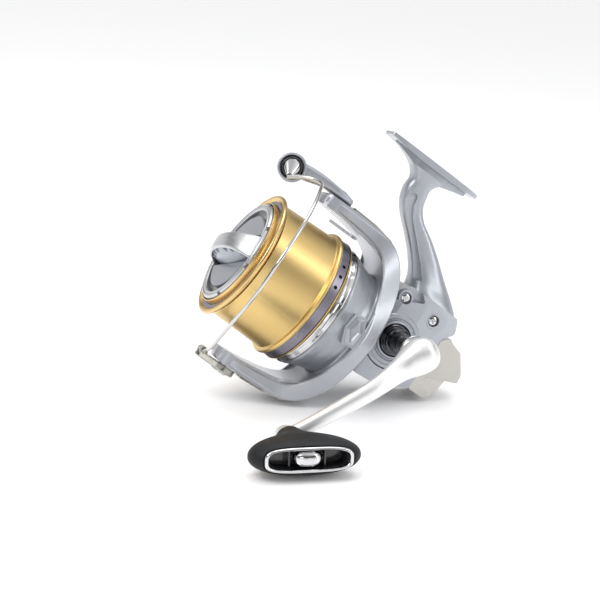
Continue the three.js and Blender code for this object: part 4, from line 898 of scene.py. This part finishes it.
# Inside the lip stand a gold wall round the drag knob and, at its foot, a lilac step.
piece("spool_inner_wall", lathe([(88.2, 32.1), (100.0, 32.1), (100.5, 32.4), (100.4, 32.9),
                                 (97.3, 33.3), (94.2, 33.3), (88.2, 33.0)], sides=256, soft=0.15),
      "gold_lip", "spool")
piece("spool_inner_step", lathe([(96.7, 33.5), (97.4, 33.5), (97.4, 35.7), (96.9, 35.9)], sides=256,
                                soft=0.1), "lilac_turned", "spool")
skirt = lathe([(50.8, 37.3), (56.5, 37.3), (56.5, 39.0), (56.2, 39.2), (51.1, 39.2), (50.8, 39.0)],
              sides=256, soft=0.15)
drilled = []
for group in (0, 120, 240):
    for angle in (20.5, 31, 41.5):
        a = math.radians(group + angle)
        out = Vector((0, math.cos(a), math.sin(a)))
        drilled.append(rod(1.15, 36, 41, out, Vector((53.6, 0, 0)), 32))
piece("spool_skirt_ring", cut(skirt, *drilled), "lilac_turned", "spool", ["spool_skirt"])
# A thin black sleeve under the skirt is painted shade: it darkens what shows through the drilled holes, over
# the gold spool body.
piece("skirt_hole_painted_shade", lathe([(51.2, 37.05), (56.1, 37.05), (56.1, 37.25), (51.2, 37.25)],
                                sides=128, soft=0), "black_gloss", "spool")
piece("skirt_edge_ring", lathe([(49.8, 37.3), (50.5, 37.3), (50.5, 39.5), (49.8, 39.3)], sides=256,
                               soft=0.12), "gold_turned", "spool", ["skirt_trim_ring"])

# ------------------------------------------------------------------ drag knob
KNOB_R, FRONT_X = 31.6, 102
KNOB_TURN = Matrix.Rotation(math.radians(14), 4, "X")
disc = lathe([(86, 7.4), (86, 14), (93.4, 16), (94.4, 29), (95.2, KNOB_R), (100.8, KNOB_R),
              (101.7, 31.1), (FRONT_X, 30.4), (FRONT_X, 29.9), (101.3, 29.8), (101.3, 29.3),
              (101.9, 29.2), (101.8, 27.9), (101.2, 27.3), (98.6, 27.0), (98.6, 7.4)], sides=192,
             soft=0.3)
notches = []
for k in range(8):
    notch = plate(fillet([(KNOB_R - 1.6, -1.2), (KNOB_R + 3, -2.0), (KNOB_R + 3, 2.0),
                          (KNOB_R - 1.6, 1.2)], 0.5), 99.4, 104, "yz")
    notches.append(moved(notch, Matrix.Rotation(2 * math.pi * (k + 0.5) / 8, 4, "X")))
piece("drag_ring", moved(cut(disc, *notches), KNOB_TURN), "ring_silver", "drag_knob",
      ["drag_knob_disc"])
# The black disc on the ring's floor is painted shade: it makes the gaps between the ring and the half-moon
# inlays read as deep black crescents.
piece("drag_ring_painted_shade_floor", lathe([(98.5, 8), (98.9, 8), (98.9, 26.9), (98.5, 26.9)], sides=128, soft=0),
      "black_gloss", "drag_knob")
moons = []
for sign in (1, -1):
    arc = [(26.0 * math.cos(a), sign * 23.4 * math.sin(a))
           for a in [math.radians(20 + 140 * k / 28) for k in range(29)]]
    moons.append(plate(fillet(arc, 1.5), 99.0, 101.2, "yz", 0.7, 4, 0.1))
piece("drag_inlays", moved(together(*moons), KNOB_TURN), "paint_moon", "drag_knob")
# The bridge is a silver strap, with a ribbed core under it. Its sections run along Y: half width
# and crown.
BRIDGE = [(-27, 6.9, 101.4), (-26, 6.8, 102.9), (-22.5, 6.2, 106.4), (-17.5, 5.6, 109.8),
          (-10, 5.2, 112.3), (0, 5.0, 113.3), (10, 5.2, 112.3), (17.5, 5.6, 109.8), (22.5, 6.2, 106.4),
          (26, 6.8, 102.9), (27, 6.9, 101.4)]
sections = spline(BRIDGE, 4)
rings = []
for y, half, crown in sections:
    drop = 2.6 + 0.5 * max(0, abs(y) - 20) / 7
    low = max(crown - drop, 98.95)
    ring = [(-half + 0.3, low), (-half, low + 0.4), (-half, crown - 1.1), (-half + 1.0, crown - 0.3),
            (0, crown), (half - 1.0, crown - 0.3), (half, crown - 1.1), (half, low + 0.4),
            (half - 0.3, low)]
    rings.append([Vector((p[1], y, p[0])) for p in fillet(ring, 0.5, 3)])
strap = skin(rings)
piece("drag_bridge", moved(strap, KNOB_TURN), "ring_silver", "drag_knob", ["drag_knob_bridge"], 30)
# The core spreads from the strap down to the floor of the well.
rows = []
for y, half, crown in sections:
    if abs(y) <= 24.5:
        top = max(crown - 2.2, 99.6)
        foot = 5.2 + 3.6 * math.cos(math.pi * y / 49)
        ring = [(98.95, -foot), (0.5 * top + 49.5, -0.5 * foot - 2.3), (top, -4.1), (top, 4.1),
                (0.5 * top + 49.5, 0.5 * foot + 2.3), (98.95, foot)]
        rows.append([Vector((x, y, z)) for x, z in fillet(ring, 0.4, 3)])
core = skin(rows)
fins = [plate([(98.95, y - 0.55), (98.95, y + 0.55), (top - 2.6, y + 0.55), (top - 2.6, y - 0.55)],
              -5.6, 5.6, "xy", 0.3)
        for y, top in ((-19, 108.6), (-12.5, 111.2), (-6, 112.7), (6, 112.7), (12.5, 111.2), (19, 108.6))]
core = cut(join(core, *fins), rod(7.2, 90, 103, sides=64))
piece("drag_bridge_core", moved(core, KNOB_TURN), "paint_core", "drag_knob")

# ------------------------------------------------------------------ finishes of the kept nodes
for name, node in frame["nodes"].items():
    if node.hide_render:
        continue
    node.data.materials.clear()
    node.data.materials.append(MATERIAL[INSIDE[NODE_SLOT[name]]])

# ------------------------------------------------------------------ floor, light and camera
floor_mesh = bpy.data.meshes.new("floor")
floor_mesh.from_pydata([(-6, -6, 0), (6, -6, 0), (6, 6, 0), (-6, 6, 0)], [], [(0, 1, 2, 3)])
floor = bpy.data.objects.new("floor", floor_mesh)
scene.collection.objects.link(floor)
pale = Tree("floor_white")
pale.shader.inputs["Base Color"].default_value = (0.93, 0.93, 0.94, 1)
pale.shader.inputs["Roughness"].default_value = 0.3
pale.shader.inputs["Specular IOR Level"].default_value = 0.2
floor_mesh.materials.append(pale.material)
floor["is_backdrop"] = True
# A crank that is turned down would go through the floor, which then lies lower.
floor.location.z = min(0.0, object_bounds()[0].z)

# The camera stands where the photographer stood, in reel axes: right, up, back and place.
RIGHT = Vector((-0.771618, 0.282779, 0.569774))
UP = Vector((0.543407, -0.172548, 0.821545))
BACK = Vector((0.330629, 0.943538, -0.020523))
STAND = Vector((333.883, 800.049, -19.683))
camera_data = bpy.data.cameras.new("camera")
camera_data.sensor_width = 36.0
camera_data.lens = 1485.479 / 600 * 36.0
camera_data.clip_start = 0.05
camera = bpy.data.objects.new("camera", camera_data)
scene.collection.objects.link(camera)
facing = Matrix((TURN.to_3x3() @ RIGHT, TURN.to_3x3() @ UP, TURN.to_3x3() @ BACK)).transposed()
camera.matrix_world = Matrix.Translation(TO_ROW @ STAND) @ facing.to_4x4()
scene.camera = camera


TO_CAMERA = Vector((facing[0][2], facing[1][2], 0)).normalized()

# Plain white light for the matt surfaces; polished ones see a white sweep low down, a dark band
# above it, a bright ceiling panel, and a darker room on the camera's side.
world = bpy.data.worlds.new("studio")
scene.world = world
world.use_nodes = True
world.cycles.sampling_method = "NONE"
sky = world.node_tree


def sky_node(kind, inputs=None, **settings):
    made = sky.nodes.new(kind)
    for key, value in settings.items():
        setattr(made, key, value)
    for key, value in (inputs or {}).items():
        if isinstance(value, bpy.types.NodeSocket):
            sky.links.new(value, made.inputs[key])
        else:
            made.inputs[key].default_value = value
    return made


sky.nodes.clear()
direction = sky_node("ShaderNodeTexCoord").outputs["Generated"]
height = sky_node("ShaderNodeSeparateXYZ", {0: direction}).outputs["Z"]
raised = sky_node("ShaderNodeMath", {0: height, 1: 0.5, 2: 0.5}, operation="MULTIPLY_ADD").outputs[0]
ramp = sky_node("ShaderNodeValToRGB", {"Fac": raised})
bands = ((0.0, 0.9), (0.50, 1.0), (0.60, 0.95), (0.67, 0.16), (0.75, 0.22), (0.82, 1.0), (0.92, 1.1),
         (1.0, 0.6))
while len(ramp.color_ramp.elements) < len(bands):
    ramp.color_ramp.elements.new(0.5)
for element, (position, value) in zip(ramp.color_ramp.elements, bands):
    element.position = position
    element.color = (value, value, value, 1)
toward = sky_node("ShaderNodeVectorMath", {0: direction, 1: tuple(TO_CAMERA)}, operation="DOT_PRODUCT")
facing_us = sky_node("ShaderNodeMapRange", {"Value": toward.outputs["Value"], "From Min": 0.2,
                                         "From Max": 0.8, "To Min": 1.0, "To Max": 0.5},
                  interpolation_type="SMOOTHSTEP").outputs["Result"]
low_down = sky_node("ShaderNodeMapRange", {"Value": height, "From Min": 0.06, "From Max": 0.3,
                                           "To Min": 1.0, "To Max": 0.0}).outputs["Result"]
dimmed = sky_node("ShaderNodeMath", {0: facing_us, 1: low_down}, operation="MAXIMUM").outputs[0]
plain = sky_node("ShaderNodeBackground", {"Color": (1, 1, 1, 1), "Strength": 1.06})
studio = sky_node("ShaderNodeBackground", {"Color": ramp.outputs["Color"], "Strength": dimmed})
glossy = sky_node("ShaderNodeLightPath").outputs["Is Glossy Ray"]
mix = sky_node("ShaderNodeMixShader", {0: glossy, 1: plain.outputs[0], 2: studio.outputs[0]})
sky_node("ShaderNodeOutputWorld", {"Surface": mix.outputs[0]})


def area_light(name, right, up, back, size, power, aim=(0, 0, 0.07), tint=(1, 1, 1)):
    """A softbox placed relative to the camera's directions, in metres from the reel."""
    data = bpy.data.lights.new(name, "AREA")
    data.shape = "RECTANGLE"
    data.size, data.size_y = size
    data.energy = power
    data.color = tint
    lamp = bpy.data.objects.new(name, data)
    scene.collection.objects.link(lamp)
    sideways = AXIS_Z.cross(TO_CAMERA)
    lamp.location = Vector(aim) + sideways * right + TO_CAMERA * back + AXIS_Z * up
    look = Vector(aim) - lamp.location
    lamp.rotation_euler = look.to_track_quat("-Z", "Y").to_euler()
    return lamp


area_light("key_softbox", -0.55, 0.85, 0.45, (0.7, 0.5), 5.0)
area_light("top_softbox", 0.1, 1.1, -0.35, (0.9, 0.6), 5.0)
area_light("side_strip", 0.95, 0.45, 0.35, (0.22, 0.8), 2.5)
area_light("front_fill", -0.2, 0.25, 1.2, (0.5, 0.3), 0.8)

scene.view_settings.view_transform = "Standard"
